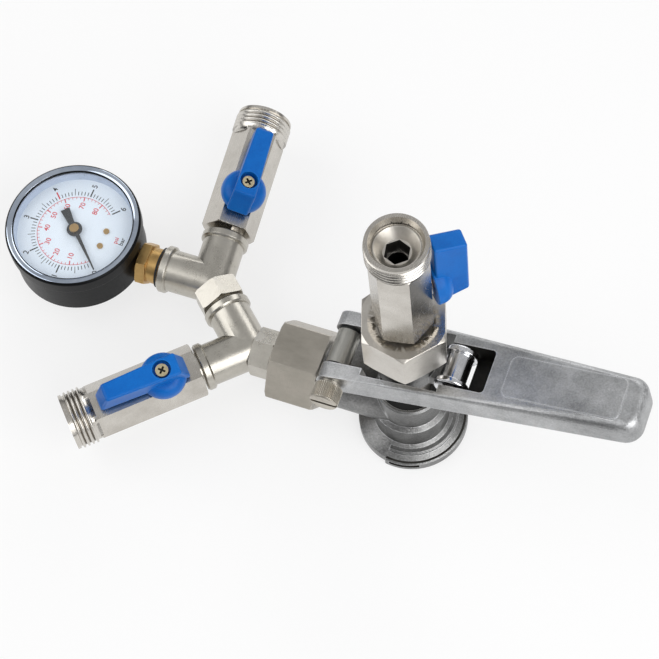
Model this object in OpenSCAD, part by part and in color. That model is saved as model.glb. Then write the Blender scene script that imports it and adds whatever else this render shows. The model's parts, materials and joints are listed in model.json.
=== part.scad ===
// Lever operated dispensing coupler with a gas manifold.
// A flanged body carries a sliding probe that a hinged lever pushes down. A ball valve stands on the
// probe. Two forked fittings on the gas inlet carry two more ball valves and a pressure gauge.
// Millimetres. The origin is the centre of the flange's underside, +Z runs up the probe's axis,
// +X runs toward the lever's tip and the gas inlet runs toward -X.

/* [Flange and body] */
// Radius of the flange on its low side
flange_r = 20.8; // [20:0.1:24]
// Radius of the flange on its raised side
flange_high_r = 21.8; // [21.5:0.1:24]
// Height of the flange's rim
flange_rim_h = 3.9; // [3:0.1:4.2]
// Radius of the cavity that takes the keg's neck
cavity_r = 16.6; // [16:0.1:17.6]
// Depth of that cavity
cavity_h = 4.4; // [4:0.1:4.8]
// Inner radius of the raised ring on the flange
ring_in_r = 15.4; // [14.9:0.1:16]
// Outer radius of the raised ring on the flange
ring_out_r = 18.4; // [17.6:0.1:19.4]
// Height of the raised ring's top
ring_top_h = 7.2; // [6:0.1:8]
// Radius of the body below its shoulder
base_r = 14.8; // [14.2:0.1:15.2]
// Height of the shoulder
shoulder_h = 19; // [17:0.1:22]
// Radius of the neck
neck_r = 12.9; // [12.2:0.1:13.1]
// Height of the neck's top
neck_h = 33; // [31:0.1:33.6]
// Radius of the gas chamber round the probe
chamber_r = 10.4; // [10:0.1:11]
// Radius of the inlet boss
boss_r = 12; // [11.4:0.1:12.6]
// Height of the inlet's axis
inlet_h = 20; // [19:0.1:22]
// Radius of the gas passages
passage_r = 4.6; // [3:0.1:5]

/* [Probe] */
// Radius of the probe
probe_r = 8; // [7.6:0.05:8.2]
// Radius of the liquid's bore
probe_bore_r = 3.9; // [3:0.1:4.2]
// Height of the probe's tip above the flange's underside
probe_tip_h = 1; // [0.5:0.1:3]
// Height of the underside of the yoke
yoke_low_h = 50.2; // [50:0.1:52]
// Height of the yoke's ring
yoke_ring_h = 9.8; // [8:0.1:12]
// Outer radius of the yoke's ring
yoke_r = 11.2; // [11:0.1:11.7]
// Thickness of the yoke's shelf
shelf_t = 6; // [4:0.1:6.4]
// Width of the yoke's shelf
shelf_w = 9.8; // [6:0.1:10.4]
// Radius of the check ball
check_ball_r = 4.2; // [4:0.05:4.5]
// Underside of the outlet nut
nut_low_h = 69.3; // [68:0.1:72]
// Height of the outlet nut
nut_h = 19.1; // [17:0.1:22]
// Width of the outlet nut across its flats
nut_af = 30; // [27:0.1:31]

/* [Lever] */
// Place of the hinge along X
hinge_x = -25.1; // [-27:0.1:-25]
// Height of the hinge's axis
hinge_h = 47.9; // [47:0.1:49]
// Angle of the raised lever above level
lever_rise = 11.1; // [9:0.1:12]
// Length from the hinge to the lever's tip
lever_len = 117.5; // [112:0.5:130]
// Half of the lever's thickness
lever_half_t = 5.6; // [5:0.1:6]
// Half of the lever's width at the hinge
lever_root_w = 15.4; // [15:0.1:17]
// Half of the lever's width at its tip
lever_tip_w = 11.2; // [10.6:0.1:13]
// Radius of the hinge's barrel
barrel_r = 4.5; // [4.2:0.1:5]
// Radius of the hinge's pin
pin_r = 2.5; // [2:0.05:2.8]
// Distance from the hinge to the roller
roller_u = 45.3; // [45:0.1:47]
// Radius of the roller's barrel
roller_r = 5; // [4.4:0.1:5.2]
// Radius of the roller's flanges
roller_flange_r = 6.6; // [6:0.1:7]

/* [Ball valves] */
// Width of a valve's hexagonal body across its flats
valve_af = 19.1; // [18.8:0.1:21]
// Length of the hexagonal body
valve_hex_h = 44.4; // [43:0.1:48]
// Length of the top valve's hexagonal body
top_hex_h = 47.4; // [43:0.1:48]
// Radius of the threaded end over its crests
thread_r = 11.45; // [11.2:0.05:12]
// Length of the threaded end
thread_h = 10; // [9.6:0.1:13.6]
// Pitch of the thread
thread_pitch = 1.81; // [1.5:0.01:2]
// Distance from the tail end of the hexagon to the stem, on the two gas valves
stem_h = 14; // [13:0.1:16]
// The same distance on the top valve
top_stem_h = 21.6; // [14:0.1:22]
// Radius of the ball
ball_r = 6.6; // [6.2:0.05:6.7]
// Bore through the ball
ball_bore_r = 4; // [3:0.1:4.2]
// Height of the handle's top over the valve's axis
handle_top_h = 23.8; // [23:0.1:26]
// Length of the handle's finger along its top, from the stem
finger_len = 23.6; // [18:0.1:26]
// Radius of the handle's round skirt
skirt_r = 9; // [8:0.1:10]

/* [Manifold] */
// Width of the inlet adaptor across its flats
adaptor_af = 29.8; // [28:0.1:32]
// Length of the inlet adaptor's hexagon
adaptor_len = 19.6; // [18:0.1:24]
// Distance from the probe's axis to the adaptor
adaptor_x = 34.4; // [34:0.1:38]
// Radius of the forked fittings' tubes
tube_r = 8.4; // [8:0.1:9]
// Radius of the collars at the branches' ends
collar_r = 9.5; // [9.2:0.1:10.4]
// Length of a branch from the fork's centre
branch_len = 20.5; // [19.6:0.1:23]
// Width of a fork's hexagonal root across its flats
root_af = 17; // [16:0.1:18]
// Distance between the two forks' centres
fork_step = 33.2; // [33:0.1:36]
// Radius of the threads that screw into the forks
tail_r = 6.55; // [6.2:0.05:7]

/* [Gauge] */
// Radius of the gauge's bezel
bezel_r = 27.2; // [27:0.1:29]
// Radius of the gauge's case
case_r = 26.4; // [25.8:0.1:26.5]
// Height of the case's back
case_low_h = 14.1; // [12:0.1:14.6]
// Height of the bezel's front
bezel_top_h = 36.8; // [36.4:0.1:38]
// Distance from the upper fork to the gauge's centre
gauge_reach = 57.2; // [56.8:0.1:62]
// Radius of the dial
dial_r = 23.6; // [22:0.1:24]

/* [Hidden] */
$fn = 64;

// Overrun of a cut past the face that it opens
over = 1;
// Clearances
fit = 0.05;
rub = 0.1;
gap = 0.3;

// Flange
rim_chamfer = 0.5;
low_sector_from = -170;
low_sector_to = -100;
ring_chamfer = 0.6;
rib_foot_h = flange_rim_h + rim_chamfer;
lug_in_r = 15.3;
lug_h = 1.3;
lug_deg = 40;
slot_w = 12;
slot_low_h = 1.6;
slot_h = 2;
slot_azimuth = -79.6;
seal_r = 14.5;
seal_in_r = 10.8;
seal_h = 3.2;
seal_seat_h = 1.5;
shoulder_chamfer = 1.5;
neck_chamfer = 0.7;
gland_r = 11.3;
gland_h = 3.2;
gland_drop = 0.9;
gland_low_h = neck_h - gland_drop - gland_h;
chamber_top_h = 25;
probe_gap = 0.3;
spigot_r = 9.4;
spigot_len = 9.6;

// Hinge
barrel_near = 8;
barrel_far = 6.2;
washer_t = 0.75;
washer_r = 4.3;
ear_near_w = barrel_near + washer_t + gap;
ear_far_w = barrel_far + washer_t + gap;
ear_far_out_w = 13;
ear_face_u = 9;
web_near = 7.6;
web_far = 6;
web_back = 4;
web_front = 14;
web_foot_h = 30;
pin_head_r = 5.5;
pin_head_h = 7.2;
pin_neck_r = 4.2;
pin_neck_h = 1.1;
pin_head_chamfer = 0.6;
pin_slot_w = 1.6;
pin_slot_h = 2;
pin_end_w = ear_far_out_w - gap;
pin_head_w = lever_root_w + rub + pin_neck_h;

// Lever
open_from_u = 12;
open_w = 12;
window_from_u = 42.4;
window_to_u = 59.4;
window_web_room = 4.9;
window_web_from_u = roller_u + window_web_room;
window_web_t = 1.2;
window_w = 8.8;
window_corner_r = 1.6;
tip_corner_r = 6.5;
edge_r = 4;
pad_from_u = 65.9;
pad_to_u = 109.9;
pad_w = 8.3;
pad_h = 0.45;
pad_corner_r = 2.6;
pocket_from_u = 64;
pocket_end = 5;
pocket_to_u = lever_len - pocket_end;
pocket_wall = 2.2;
pocket_roof = 2.4;
roller_lift = 0.8;
roller_half = 5.5;
roller_flange_t = 2.4;
roller_flange_chamfer = 0.6;
roller_pin_r = 2;
roller_pin_half = 11.5;

// Roller's place, from the lever's pose
roller_x = hinge_x + roller_u * cos(lever_rise) - roller_lift * sin(lever_rise);
roller_h = hinge_h + roller_u * sin(lever_rise) + roller_lift * cos(lever_rise);
shelf_top_h = roller_h - roller_r - gap;

// Probe
tip_chamfer = 1.5;
tip_groove_r = 7;
tip_seal_r = 8.6;
tip_seal_low = 2.5;
tip_seal_h = 3;
retainer_h = 2;
retainer_in_r = 3.2;
cage_r = 4.9;
cage_h = 14.5;
yoke_seat_r = 9;
collar_top_r = 9.9;
spout_r = 10.4;
spout_h = 6.8;
shelf_end_x = 22.5;
shelf_gap_x = 13.4;
yoke_room_h = 19.1;
ring_h = yoke_ring_h * (nut_low_h - yoke_low_h) / yoke_room_h;
bridge_share = 0.551;
bridge_top_h = yoke_low_h + ring_h * bridge_share;
bridge_lap = 1.9;
bridge_low_h = min(yoke_low_h, shelf_top_h - bridge_lap);
bridge_end_x = 13.8;
nut_washer_t = 1.6;
nut_chamfer = 1.6;
dish_r = 13.4;
dish_floor_r = 10;
dish_h = 1.6;
valve_lift = 0.7;

// Ball valves
tail_len = 9;
tail_bore_r = 4;
hex_chamfer = 0.9;
thread_root_r = thread_r - 0.95;
lip_h = 1.2;
lip_r = thread_r - 0.35;
crest_share = 0.34;
flank_share = 0.2;
first_crest_h = 1.3;
mouth_r = 9.7;
mouth_cone_h = 3;
socket_bore_r = 8.3;
chamber_back = 7.4;
valve_chamber_r = 7;
chamber_front = 10;
retainer_nose_r = 6.7;
retainer_drop = 3.2;
key_af = 8.2;
key_h = 7;
dish_cone_h = 3.6;
dish_mouth_r = 7.9;
dish_key_r = 4.9;
retainer_bore_r = 3.7;
seat_r = 6.9;
seat_bore_r = 4.3;
seat_t = 3.2;
seat_gap = 0.12;
stem_r = 2.9;
stem_flange_r = 3.6;
stem_flange_low = 6.75;
stem_flange_h = 1.2;
stem_top_h = 19;
tang_w = 2.3;
tang_len = 6;
tang_low = 5;
packing_r = 5.2;
packing_h = 0.9;
skirt_low_h = 11;
finger_low_h = thread_r + gap;
skirt_wall_h = 2.2;
skirt_top_r = 5;
skirt_top_h = 17.4;
finger_tip_w = 3.6;
finger_root_w = 4.5;
finger_back = 6.4;
finger_slope = 3.4;
finger_edge_r = 0.7;
counterbore_r = 3.6;
counterbore_h = 3.4;
screw_head_r = 2.5;
screw_head_h = 1.9;
screw_r = 1.4;
screw_len = 8;
screw_cross_w = 0.8;
screw_cross_len = 3;
screw_cross_h = 1;
handle_bore_r = stem_r + fit;
top_valve_azimuth = 39.4;
left_valve_roll = -12.8;
rear_valve_roll = 18.5;
left_valve_seat = 21.2;
rear_valve_seat = 22.4;

// Manifold
adaptor_chamfer = 1.2;
washer_out_r = 9.5;
inlet_washer_t = 1;
root_gap = 0.2;
root_from = 3;
root_to = 11.5;
root_tail_to = 21.5;
socket_depth = 10;
socket_r = tail_r + fit;
collar_h = 3.6;
collar_round = 0.7;
fork_bore_r = 4.6;
duck_flange_r = 6.3;
duck_flange_t = 2;
duck_r = 4;
duck_len = 8;
duck_tip_t = 1.6;
duck_bore_r = 2.8;
duck_chamber_r = 6.4;
fork_x = -(adaptor_x + adaptor_len + inlet_washer_t + root_gap + root_to);
fork_angle = 137.3;
left_valve_azimuth = 360 - fork_angle;
rear_valve_azimuth = fork_angle + fork_angle - 180;
fork2_x = fork_x + fork_step * cos(fork_angle);
fork2_y = fork_step * sin(fork_angle);

// Gauge
gauge_x = fork2_x - gauge_reach;
gauge_y = fork2_y;
case_wall = 1.3;
bezel_in_r = 23.8;
bezel_lip_t = 1.2;
bezel_round = 1;
lens_t = 1.45;
case_top_h = bezel_top_h - bezel_lip_t - lens_t - fit;
case_room_h = case_top_h - inlet_h;
bezel_low_share = 0.72;
bezel_low_h = inlet_h + case_room_h * bezel_low_share;
lens_r = 25.4;
dial_t = 0.6;
dial_share = 0.723;
dial_h = inlet_h + case_room_h * dial_share;
dial_hole_r = 1.6;
dial_screw_x = 12.2;
dial_screw_y = 3.4;
dial_screw_r = 1.2;
dial_screw_head_h = 0.6;
dial_screw_shank_r = 0.7;
needle_share = 0.85;
needle_h = inlet_h + case_room_h * needle_share;
needle_t = 0.5;
needle_len = 20;
needle_tail = 10;
needle_tip_w = 0.25;
needle_root_w = 0.9;
needle_tail_w = 1.9;
needle_eye_r = 3.1;
needle_zero = -45;
hub_r = 1.9;
hub_share = 0.557;
hub_h = (case_top_h - needle_h - needle_t) * hub_share;
arbor_r = 0.8;
gauge_seal_r = 8.2;
gauge_seal_t = 1.1;
gauge_neck_r = 7.2;
gauge_neck_to = 25.8;
gauge_hex_af = 15.9;
gauge_hex_to = gauge_reach - bezel_r - rub;
shank_r = 5;
block_len = 16;
block_w = 8;
block_rise = 0.6;
block_low_h = case_low_h + case_wall + block_rise;
tube_bend_r = 16;
shank_to = gauge_reach - tube_bend_r - block_w / 2 + over;
tube_w = 1.6;
tube_rise = 2.1;
tube_drop = 1.5;
tube_turn = 250;
tube_from = asin((block_len / 2 + fit) / tube_bend_r);
plate_w = 14;
plate_back_x = -5;
plate_front_x = 15;
plate_t = 1.2;
plate_share = 0.369;
plate_h = inlet_h + case_room_h * plate_share;
block_top_h = plate_h - plate_t;
tube_low_h = case_low_h + case_wall + tube_rise;
tube_top_h = block_top_h - tube_drop;
pinion_r = 1.2;
pinion_h = 1.6;
pinion_share = 0.461;
pinion_low_h = inlet_h + case_room_h * pinion_share;
sector_r = 8.4;
sector_pivot_x = sector_r + pinion_r + gap;
sector_deg = 50;
needle_sweep = 270;
sector_swing = needle_sweep * pinion_r / sector_r;
sector_hub_r = 1.8;
sector_pin_r = 0.7;
sector_arm_w = 1.6;

// Hexagonal prism with both ends turned down to a chamfer
module hex_bar(af, h, chamfer) {
  intersection() {
    cylinder(r = af / sqrt(3), h = h, $fn = 6);
    rotate_extrude()
      polygon([[0, 0], [af / sqrt(3) - chamfer, 0], [af / sqrt(3), chamfer * tan(30)],
        [af / sqrt(3), h - chamfer * tan(30)], [af / sqrt(3) - chamfer, h], [0, h]]);
  }
}

// Plate with round corners, lying along X
module round_plate(x0, x1, half_w, corner, h) {
  linear_extrude(height = h)
    hull()
      for (x = [x0 + corner, x1 - corner], y = [-half_w + corner, half_w - corner])
        translate([x, y]) circle(r = corner, $fn = 32);
}

// Wedge of a round plate between two azimuths
module sector_wedge(r, from, to, h) {
  rotate([0, 0, from])
    rotate_extrude(angle = to - from)
      square([r, h]);
}

// Body casting: flange, shoulder, neck, inlet boss and hinge arm
module coupler_body() {
  color([0.62, 0.63, 0.65])
    difference() {
      union() {
        rotate_extrude()
          polygon([[0, 0], [flange_r, 0], [flange_r, flange_rim_h],
            [flange_r - rim_chamfer, rib_foot_h], [base_r, ring_top_h + over], [base_r, shoulder_h],
            [neck_r, shoulder_h + shoulder_chamfer], [neck_r, neck_h - neck_chamfer],
            [neck_r - neck_chamfer, neck_h], [0, neck_h]]);
        difference() {
          rotate_extrude()
            polygon([[0, 0], [flange_high_r, 0], [flange_high_r, flange_rim_h],
              [flange_high_r - rim_chamfer, rib_foot_h], [ring_out_r, rib_foot_h],
              [ring_out_r, ring_top_h - ring_chamfer], [ring_out_r - ring_chamfer, ring_top_h],
              [ring_in_r, ring_top_h], [0, ring_top_h]]);
          translate([0, 0, -over])
            sector_wedge(flange_high_r + over, low_sector_from, low_sector_to, ring_top_h + over + over);
        }
        translate([-adaptor_x, 0, inlet_h])
          rotate([0, 90, 0]) cylinder(r = boss_r, h = adaptor_x);
        hinge_arm();
      }
      body_cavities();
    }
}

// Arm that rises from the inlet boss to the hinge's barrel
module hinge_arm() {
  translate([0, web_far, 0])
    rotate([90, 0, 0])
      linear_extrude(height = web_near + web_far)
        polygon([[hinge_x - web_back, web_foot_h], [hinge_x + web_front, web_foot_h],
          [hinge_x + barrel_r - gap, hinge_h], [hinge_x - web_back, hinge_h]]);
  translate([hinge_x, barrel_far, hinge_h])
    rotate([90, 0, 0]) cylinder(r = barrel_r, h = barrel_near + barrel_far);
}

// Every hollow of the body
module body_cavities() {
  difference() {
    translate([0, 0, -over]) cylinder(r = cavity_r, h = cavity_h + over);
    for (a = [slot_azimuth - 90, slot_azimuth + 90])
      rotate([0, 0, a - lug_deg / 2])
        rotate_extrude(angle = lug_deg)
          translate([lug_in_r, 0]) square([cavity_r - lug_in_r + over, lug_h]);
  }
  translate([0, 0, cavity_h - over]) cylinder(r = seal_r + fit, h = seal_seat_h + over);
  translate([0, 0, cavity_h]) cylinder(r = chamber_r, h = chamber_top_h - cavity_h);
  translate([0, 0, cavity_h]) cylinder(r = probe_r + probe_gap, h = neck_h - cavity_h + over);
  translate([0, 0, gland_low_h]) cylinder(r = gland_r, h = gland_drop + gland_h + over);
  for (a = [slot_azimuth, slot_azimuth + 180])
    rotate([0, 0, a])
      translate([lug_in_r, -slot_w / 2, slot_low_h])
        cube([flange_high_r - lug_in_r + over, slot_w, slot_h]);
  translate([-adaptor_x - over, 0, inlet_h])
    rotate([0, 90, 0]) cylinder(r = spigot_r + fit, h = spigot_len + over);
  translate([-adaptor_x - over, 0, inlet_h])
    rotate([0, 90, 0]) cylinder(r = passage_r, h = adaptor_x + over);
  translate([hinge_x, barrel_far + over, hinge_h])
    rotate([90, 0, 0]) cylinder(r = pin_r + fit, h = barrel_near + barrel_far + over + over);
}

// Rubber ring that seals on the keg's neck
module base_seal() {
  color([0.1, 0.1, 0.1])
    translate([0, 0, cavity_h + seal_seat_h - seal_h])
      difference() {
        cylinder(r = seal_r, h = seal_h);
        translate([0, 0, -over]) cylinder(r = seal_in_r, h = seal_h + over + over);
      }
}

// Rubber ring in the neck's gland, on which the probe slides
module gland_seal() {
  color([0.1, 0.1, 0.1])
    translate([0, 0, gland_low_h + rub])
      difference() {
        cylinder(r = gland_r - rub, h = gland_h - rub - rub);
        translate([0, 0, -over]) cylinder(r = probe_r + rub, h = gland_h + over + over);
      }
}

// Tube that slides through the body
module probe() {
  color([0.78, 0.77, 0.74])
    difference() {
      rotate_extrude()
        polygon([[0, probe_tip_h], [probe_r - tip_chamfer, probe_tip_h],
          [tip_groove_r, probe_tip_h + tip_chamfer], [tip_groove_r, probe_tip_h + tip_seal_low + tip_seal_h],
          [probe_r, probe_tip_h + tip_seal_low + tip_seal_h], [probe_r, yoke_low_h],
          [yoke_seat_r, yoke_low_h], [yoke_seat_r, yoke_low_h + ring_h],
          [collar_top_r, yoke_low_h + ring_h], [collar_top_r, nut_low_h],
          [spout_r, nut_low_h], [spout_r, nut_low_h + spout_h], [0, nut_low_h + spout_h]]);
      translate([0, 0, probe_tip_h - over])
        cylinder(r = probe_bore_r, h = nut_low_h + spout_h + over + over);
      translate([0, 0, probe_tip_h - over]) cylinder(r = cage_r, h = cage_h + over);
    }
}

// Rubber ring on the probe's tip
module probe_tip_seal() {
  color([0.12, 0.12, 0.12])
    translate([0, 0, probe_tip_h + tip_seal_low])
      difference() {
        cylinder(r = tip_seal_r, h = tip_seal_h - rub);
        translate([0, 0, -over]) cylinder(r = tip_groove_r + fit, h = tip_seal_h + over + over);
      }
}

// Ball that closes the liquid's way back
module check_ball() {
  color([0.9, 0.9, 0.88])
    translate([0, 0, probe_tip_h + retainer_h + rub + sqrt(pow(check_ball_r, 2) - pow(retainer_in_r, 2))])
      sphere(r = check_ball_r);
}

// Ring that holds the check ball in the probe's tip
module ball_retainer() {
  color([0.2, 0.2, 0.22])
    translate([0, 0, probe_tip_h])
      difference() {
        cylinder(r = cage_r - fit, h = retainer_h);
        translate([0, 0, -over]) cylinder(r = retainer_in_r, h = retainer_h + over + over);
      }
}

// Ring on the probe with the shelf that the lever's roller presses
module probe_yoke() {
  color([0.7, 0.7, 0.71])
    difference() {
      union() {
        translate([0, 0, yoke_low_h]) cylinder(r = yoke_r, h = ring_h);
        translate([yoke_seat_r, -shelf_w / 2, bridge_low_h])
          cube([bridge_end_x - yoke_seat_r, shelf_w, bridge_top_h - bridge_low_h]);
        translate([shelf_gap_x, -shelf_w / 2, shelf_top_h - shelf_t])
          cube([shelf_end_x - shelf_gap_x, shelf_w, shelf_t]);
      }
      translate([0, 0, bridge_low_h - over])
        cylinder(r = yoke_seat_r + fit, h = yoke_low_h + ring_h - bridge_low_h + over + over);
    }
}

// Moves the lever's pieces from the hinge's frame into place
module on_lever() {
  translate([hinge_x, 0, hinge_h]) rotate([0, -lever_rise, 0]) children();
}

// Round cheek with a rounded upper edge
module tip_pillow() {
  rotate_extrude($fn = 32)
    polygon(concat([[0, -lever_half_t], [tip_corner_r, -lever_half_t]],
      [for (i = [0 : 5])
        [tip_corner_r - edge_r * (1 - cos(i * 18)), lever_half_t - edge_r * (1 - sin(i * 18))]],
      [[0, lever_half_t]]));
}

// Operating lever
module lever() {
  color([0.66, 0.67, 0.69])
    on_lever()
      difference() {
        union() {
          hull() {
            translate([0, lever_root_w, 0])
              rotate([90, 0, 0]) cylinder(r = lever_half_t, h = lever_root_w + lever_root_w);
            for (s = [-1, 1])
              translate([lever_len - tip_corner_r, s * (lever_tip_w - tip_corner_r), 0]) tip_pillow();
          }
          translate([0, 0, lever_half_t - pad_h])
            round_plate(pad_from_u, pad_to_u, pad_w, pad_corner_r, pad_h + pad_h);
        }
        lever_cuts();
      }
}

// Opening round the column, window over its web, underside pocket and bores of the lever
module lever_cuts() {
  translate([-lever_half_t - over, -ear_near_w, -lever_half_t - over])
    cube([lever_half_t + over + open_from_u + over, ear_near_w + ear_far_w,
      lever_half_t + lever_half_t + over + over]);
  translate([-lever_half_t - over, ear_far_out_w, -lever_half_t - over])
    cube([lever_half_t + over + ear_face_u, lever_root_w, lever_half_t + lever_half_t + over + over]);
  translate([open_from_u, -open_w, -lever_half_t - over])
    cube([window_from_u - open_from_u, open_w + open_w, lever_half_t + lever_half_t + over + over]);
  translate([window_from_u - over, -window_w, -lever_half_t - over])
    cube([window_web_from_u - window_from_u + over, window_w + window_w,
      lever_half_t + lever_half_t + over + over]);
  translate([0, 0, window_web_t - lever_half_t])
    round_plate(window_from_u - window_corner_r - over, window_to_u, window_w, window_corner_r,
      lever_half_t + lever_half_t + over);
  translate([0, 0, -lever_half_t - over])
    linear_extrude(height = lever_half_t + lever_half_t - pocket_roof + over)
      polygon([[pocket_from_u, pocket_wall - lever_tip_w], [pocket_to_u, pocket_end - lever_tip_w],
        [pocket_to_u, lever_tip_w - pocket_end], [pocket_from_u, lever_tip_w - pocket_wall]]);
  translate([0, lever_root_w + over, 0])
    rotate([90, 0, 0]) cylinder(r = pin_r + fit, h = lever_root_w + lever_root_w + over + over);
  translate([roller_u, roller_pin_half + fit, roller_lift])
    rotate([90, 0, 0]) cylinder(r = roller_pin_r + fit, h = roller_pin_half + roller_pin_half + fit + fit);
}

// Slotted pin that the lever turns on
module hinge_pin() {
  color([0.74, 0.73, 0.7])
    on_lever()
      rotate([90, 0, 0])
        difference() {
          union() {
            translate([0, 0, -pin_end_w]) cylinder(r = pin_r, h = pin_end_w + pin_head_w + over);
            translate([0, 0, pin_head_w - pin_neck_h]) cylinder(r = pin_neck_r, h = pin_neck_h + over);
            translate([0, 0, pin_head_w])
              rotate_extrude()
                polygon([[0, 0], [pin_head_r - pin_head_chamfer, 0], [pin_head_r, pin_head_chamfer],
                  [pin_head_r, pin_head_h - pin_head_chamfer],
                  [pin_head_r - pin_head_chamfer, pin_head_h], [0, pin_head_h]]);
          }
          rotate([0, 0, lever_rise])
            translate([-pin_head_r - over, -pin_slot_w / 2, pin_head_w + pin_head_h - pin_slot_h])
              cube([pin_head_r + pin_head_r + over + over, pin_slot_w, pin_slot_h + over]);
        }
}

// Two black washers between the barrel and the lever's ears
module hinge_washers() {
  color([0.06, 0.06, 0.06])
    for (y = [-barrel_near - (washer_t + gap) / 2, barrel_far + (washer_t + gap) / 2])
      translate([hinge_x, y, hinge_h])
        rotate([90, 0, 0])
          difference() {
            cylinder(r = washer_r, h = washer_t, center = true);
            cylinder(r = pin_r + rub, h = washer_t + over, center = true);
          }
}

// Flanged roller in the lever's window
module lift_roller() {
  color([0.6, 0.6, 0.62])
    translate([roller_x, roller_half + roller_flange_t, roller_h])
      rotate([90, 0, 0])
        difference() {
          rotate_extrude()
            polygon([[0, 0], [roller_flange_r - roller_flange_chamfer, 0],
              [roller_flange_r, roller_flange_chamfer], [roller_flange_r, roller_flange_t],
              [roller_r, roller_flange_t], [roller_r, roller_flange_t + roller_half + roller_half],
              [roller_flange_r, roller_flange_t + roller_half + roller_half],
              [roller_flange_r, roller_flange_t * 2 + roller_half * 2 - roller_flange_chamfer],
              [roller_flange_r - roller_flange_chamfer, roller_flange_t * 2 + roller_half * 2],
              [0, roller_flange_t * 2 + roller_half * 2]]);
          translate([0, 0, -over])
            cylinder(r = roller_pin_r + fit, h = (roller_flange_t + roller_half + over) * 2);
        }
}

// Axle of the roller, pressed into the lever
module roller_pin() {
  color([0.5, 0.5, 0.52])
    translate([roller_x, roller_pin_half, roller_h])
      rotate([90, 0, 0]) cylinder(r = roller_pin_r, h = roller_pin_half + roller_pin_half);
}

// Large hexagonal nut between the probe and the top valve
module outlet_nut() {
  color([0.8, 0.79, 0.76])
    translate([0, 0, nut_low_h])
      rotate([0, 0, -71.2])
        difference() {
          hex_bar(nut_af, nut_h, nut_chamfer);
          translate([0, 0, -over]) cylinder(r = spout_r + fit, h = spout_h + nut_washer_t + over);
          cylinder(r = tail_r + fit, h = nut_h + over);
          translate([0, 0, nut_h - dish_h])
            rotate_extrude()
              polygon([[0, 0], [dish_floor_r, 0], [dish_r, dish_h], [dish_r, dish_h + over],
                [0, dish_h + over]]);
        }
}

// Washer on which the nut draws the valve down
module outlet_washer() {
  color([0.85, 0.85, 0.82])
    translate([0, 0, nut_low_h + spout_h])
      difference() {
        cylinder(r = spout_r - gap, h = nut_washer_t);
        translate([0, 0, -over]) cylinder(r = tail_bore_r, h = nut_washer_t + over + over);
      }
}

// Large hexagonal adaptor on the gas inlet
module inlet_adaptor() {
  color([0.68, 0.66, 0.62])
    translate([-adaptor_x, 0, inlet_h])
      rotate([0, -90, 0])
        difference() {
          union() {
            rotate([0, 0, 30]) hex_bar(adaptor_af, adaptor_len, adaptor_chamfer);
            translate([0, 0, -spigot_len + rub]) cylinder(r = spigot_r, h = spigot_len);
          }
          translate([0, 0, adaptor_len - socket_depth]) cylinder(r = socket_r, h = socket_depth + over);
          translate([0, 0, -spigot_len - over])
            cylinder(r = duck_chamber_r, h = spigot_len + duck_flange_t + over);
          cylinder(r = passage_r, h = adaptor_len);
        }
}

// Washer between the adaptor and the first fork
module inlet_washer() {
  color([0.75, 0.74, 0.7])
    translate([-adaptor_x - adaptor_len, 0, inlet_h])
      rotate([0, -90, 0])
        difference() {
          cylinder(r = washer_out_r, h = inlet_washer_t);
          translate([0, 0, -over]) cylinder(r = socket_r, h = inlet_washer_t + over + over);
        }
}

// Rubber one-way valve in the gas inlet
module gas_check_valve() {
  color([0.15, 0.15, 0.15])
    translate([-adaptor_x - duck_flange_t, 0, inlet_h])
      rotate([0, 90, 0])
        difference() {
          union() {
            cylinder(r = duck_flange_r, h = duck_flange_t);
            intersection() {
              cylinder(r = duck_r, h = duck_len);
              rotate([90, 0, 0])
                linear_extrude(height = duck_r * 2, center = true)
                  polygon([[-duck_r, 0], [duck_r, 0], [duck_tip_t / 2, duck_len],
                    [-duck_tip_t / 2, duck_len]]);
            }
          }
          translate([0, 0, -over]) cylinder(r = duck_bore_r, h = duck_flange_t + over);
        }
}

// Forked fitting: hexagonal root along +X, two branches spread beyond it
module fork() {
  difference() {
    union() {
      sphere(r = tube_r);
      for (a = [-fork_angle, fork_angle])
        rotate([0, 0, a])
          rotate([0, 90, 0]) {
            cylinder(r = tube_r, h = branch_len);
            translate([0, 0, branch_len - collar_h])
              rotate_extrude()
                polygon([[0, 0], [collar_r - collar_round, 0], [collar_r, collar_round],
                  [collar_r, collar_h - collar_round], [collar_r - collar_round, collar_h], [0, collar_h]]);
          }
      translate([root_from, 0, 0])
        rotate([0, 90, 0]) hex_bar(root_af, root_to - root_from, collar_round);
      rotate([0, 90, 0]) cylinder(r = tail_r, h = root_tail_to);
    }
    for (a = [-fork_angle, fork_angle])
      rotate([0, 0, a])
        rotate([0, 90, 0]) {
          cylinder(r = fork_bore_r, h = branch_len + over);
          translate([0, 0, branch_len - socket_depth]) cylinder(r = socket_r, h = socket_depth + over);
        }
    rotate([0, 90, 0]) cylinder(r = fork_bore_r, h = root_tail_to + over);
  }
}

// Fork next to the gas inlet
module fork_lower() {
  color([0.78, 0.77, 0.74]) translate([fork_x, 0, inlet_h]) fork();
}

// Fork that carries the gauge and the rear valve
module fork_upper() {
  color([0.78, 0.77, 0.74])
    translate([fork2_x, fork2_y, inlet_h]) rotate([0, 0, fork_angle - 180]) fork();
}

// Places of the three valves: each valve's axis is its own Z and its stem points along its own X
module on_top_valve() {
  translate([0, 0, nut_low_h + nut_h + valve_lift]) rotate([0, 0, top_valve_azimuth]) children();
}

module on_branch(x, y, azimuth, seat, roll) {
  translate([x, y, inlet_h])
    rotate([0, 0, azimuth])
      translate([seat, 0, 0])
        rotate([0, 90, 0])
          rotate([0, 0, 180 + roll]) children();
}

module on_left_valve() {
  on_branch(fork_x, 0, left_valve_azimuth, left_valve_seat, left_valve_roll) children();
}

module on_rear_valve() {
  on_branch(fork2_x, fork2_y, rear_valve_azimuth, rear_valve_seat, rear_valve_roll) children();
}

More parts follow.
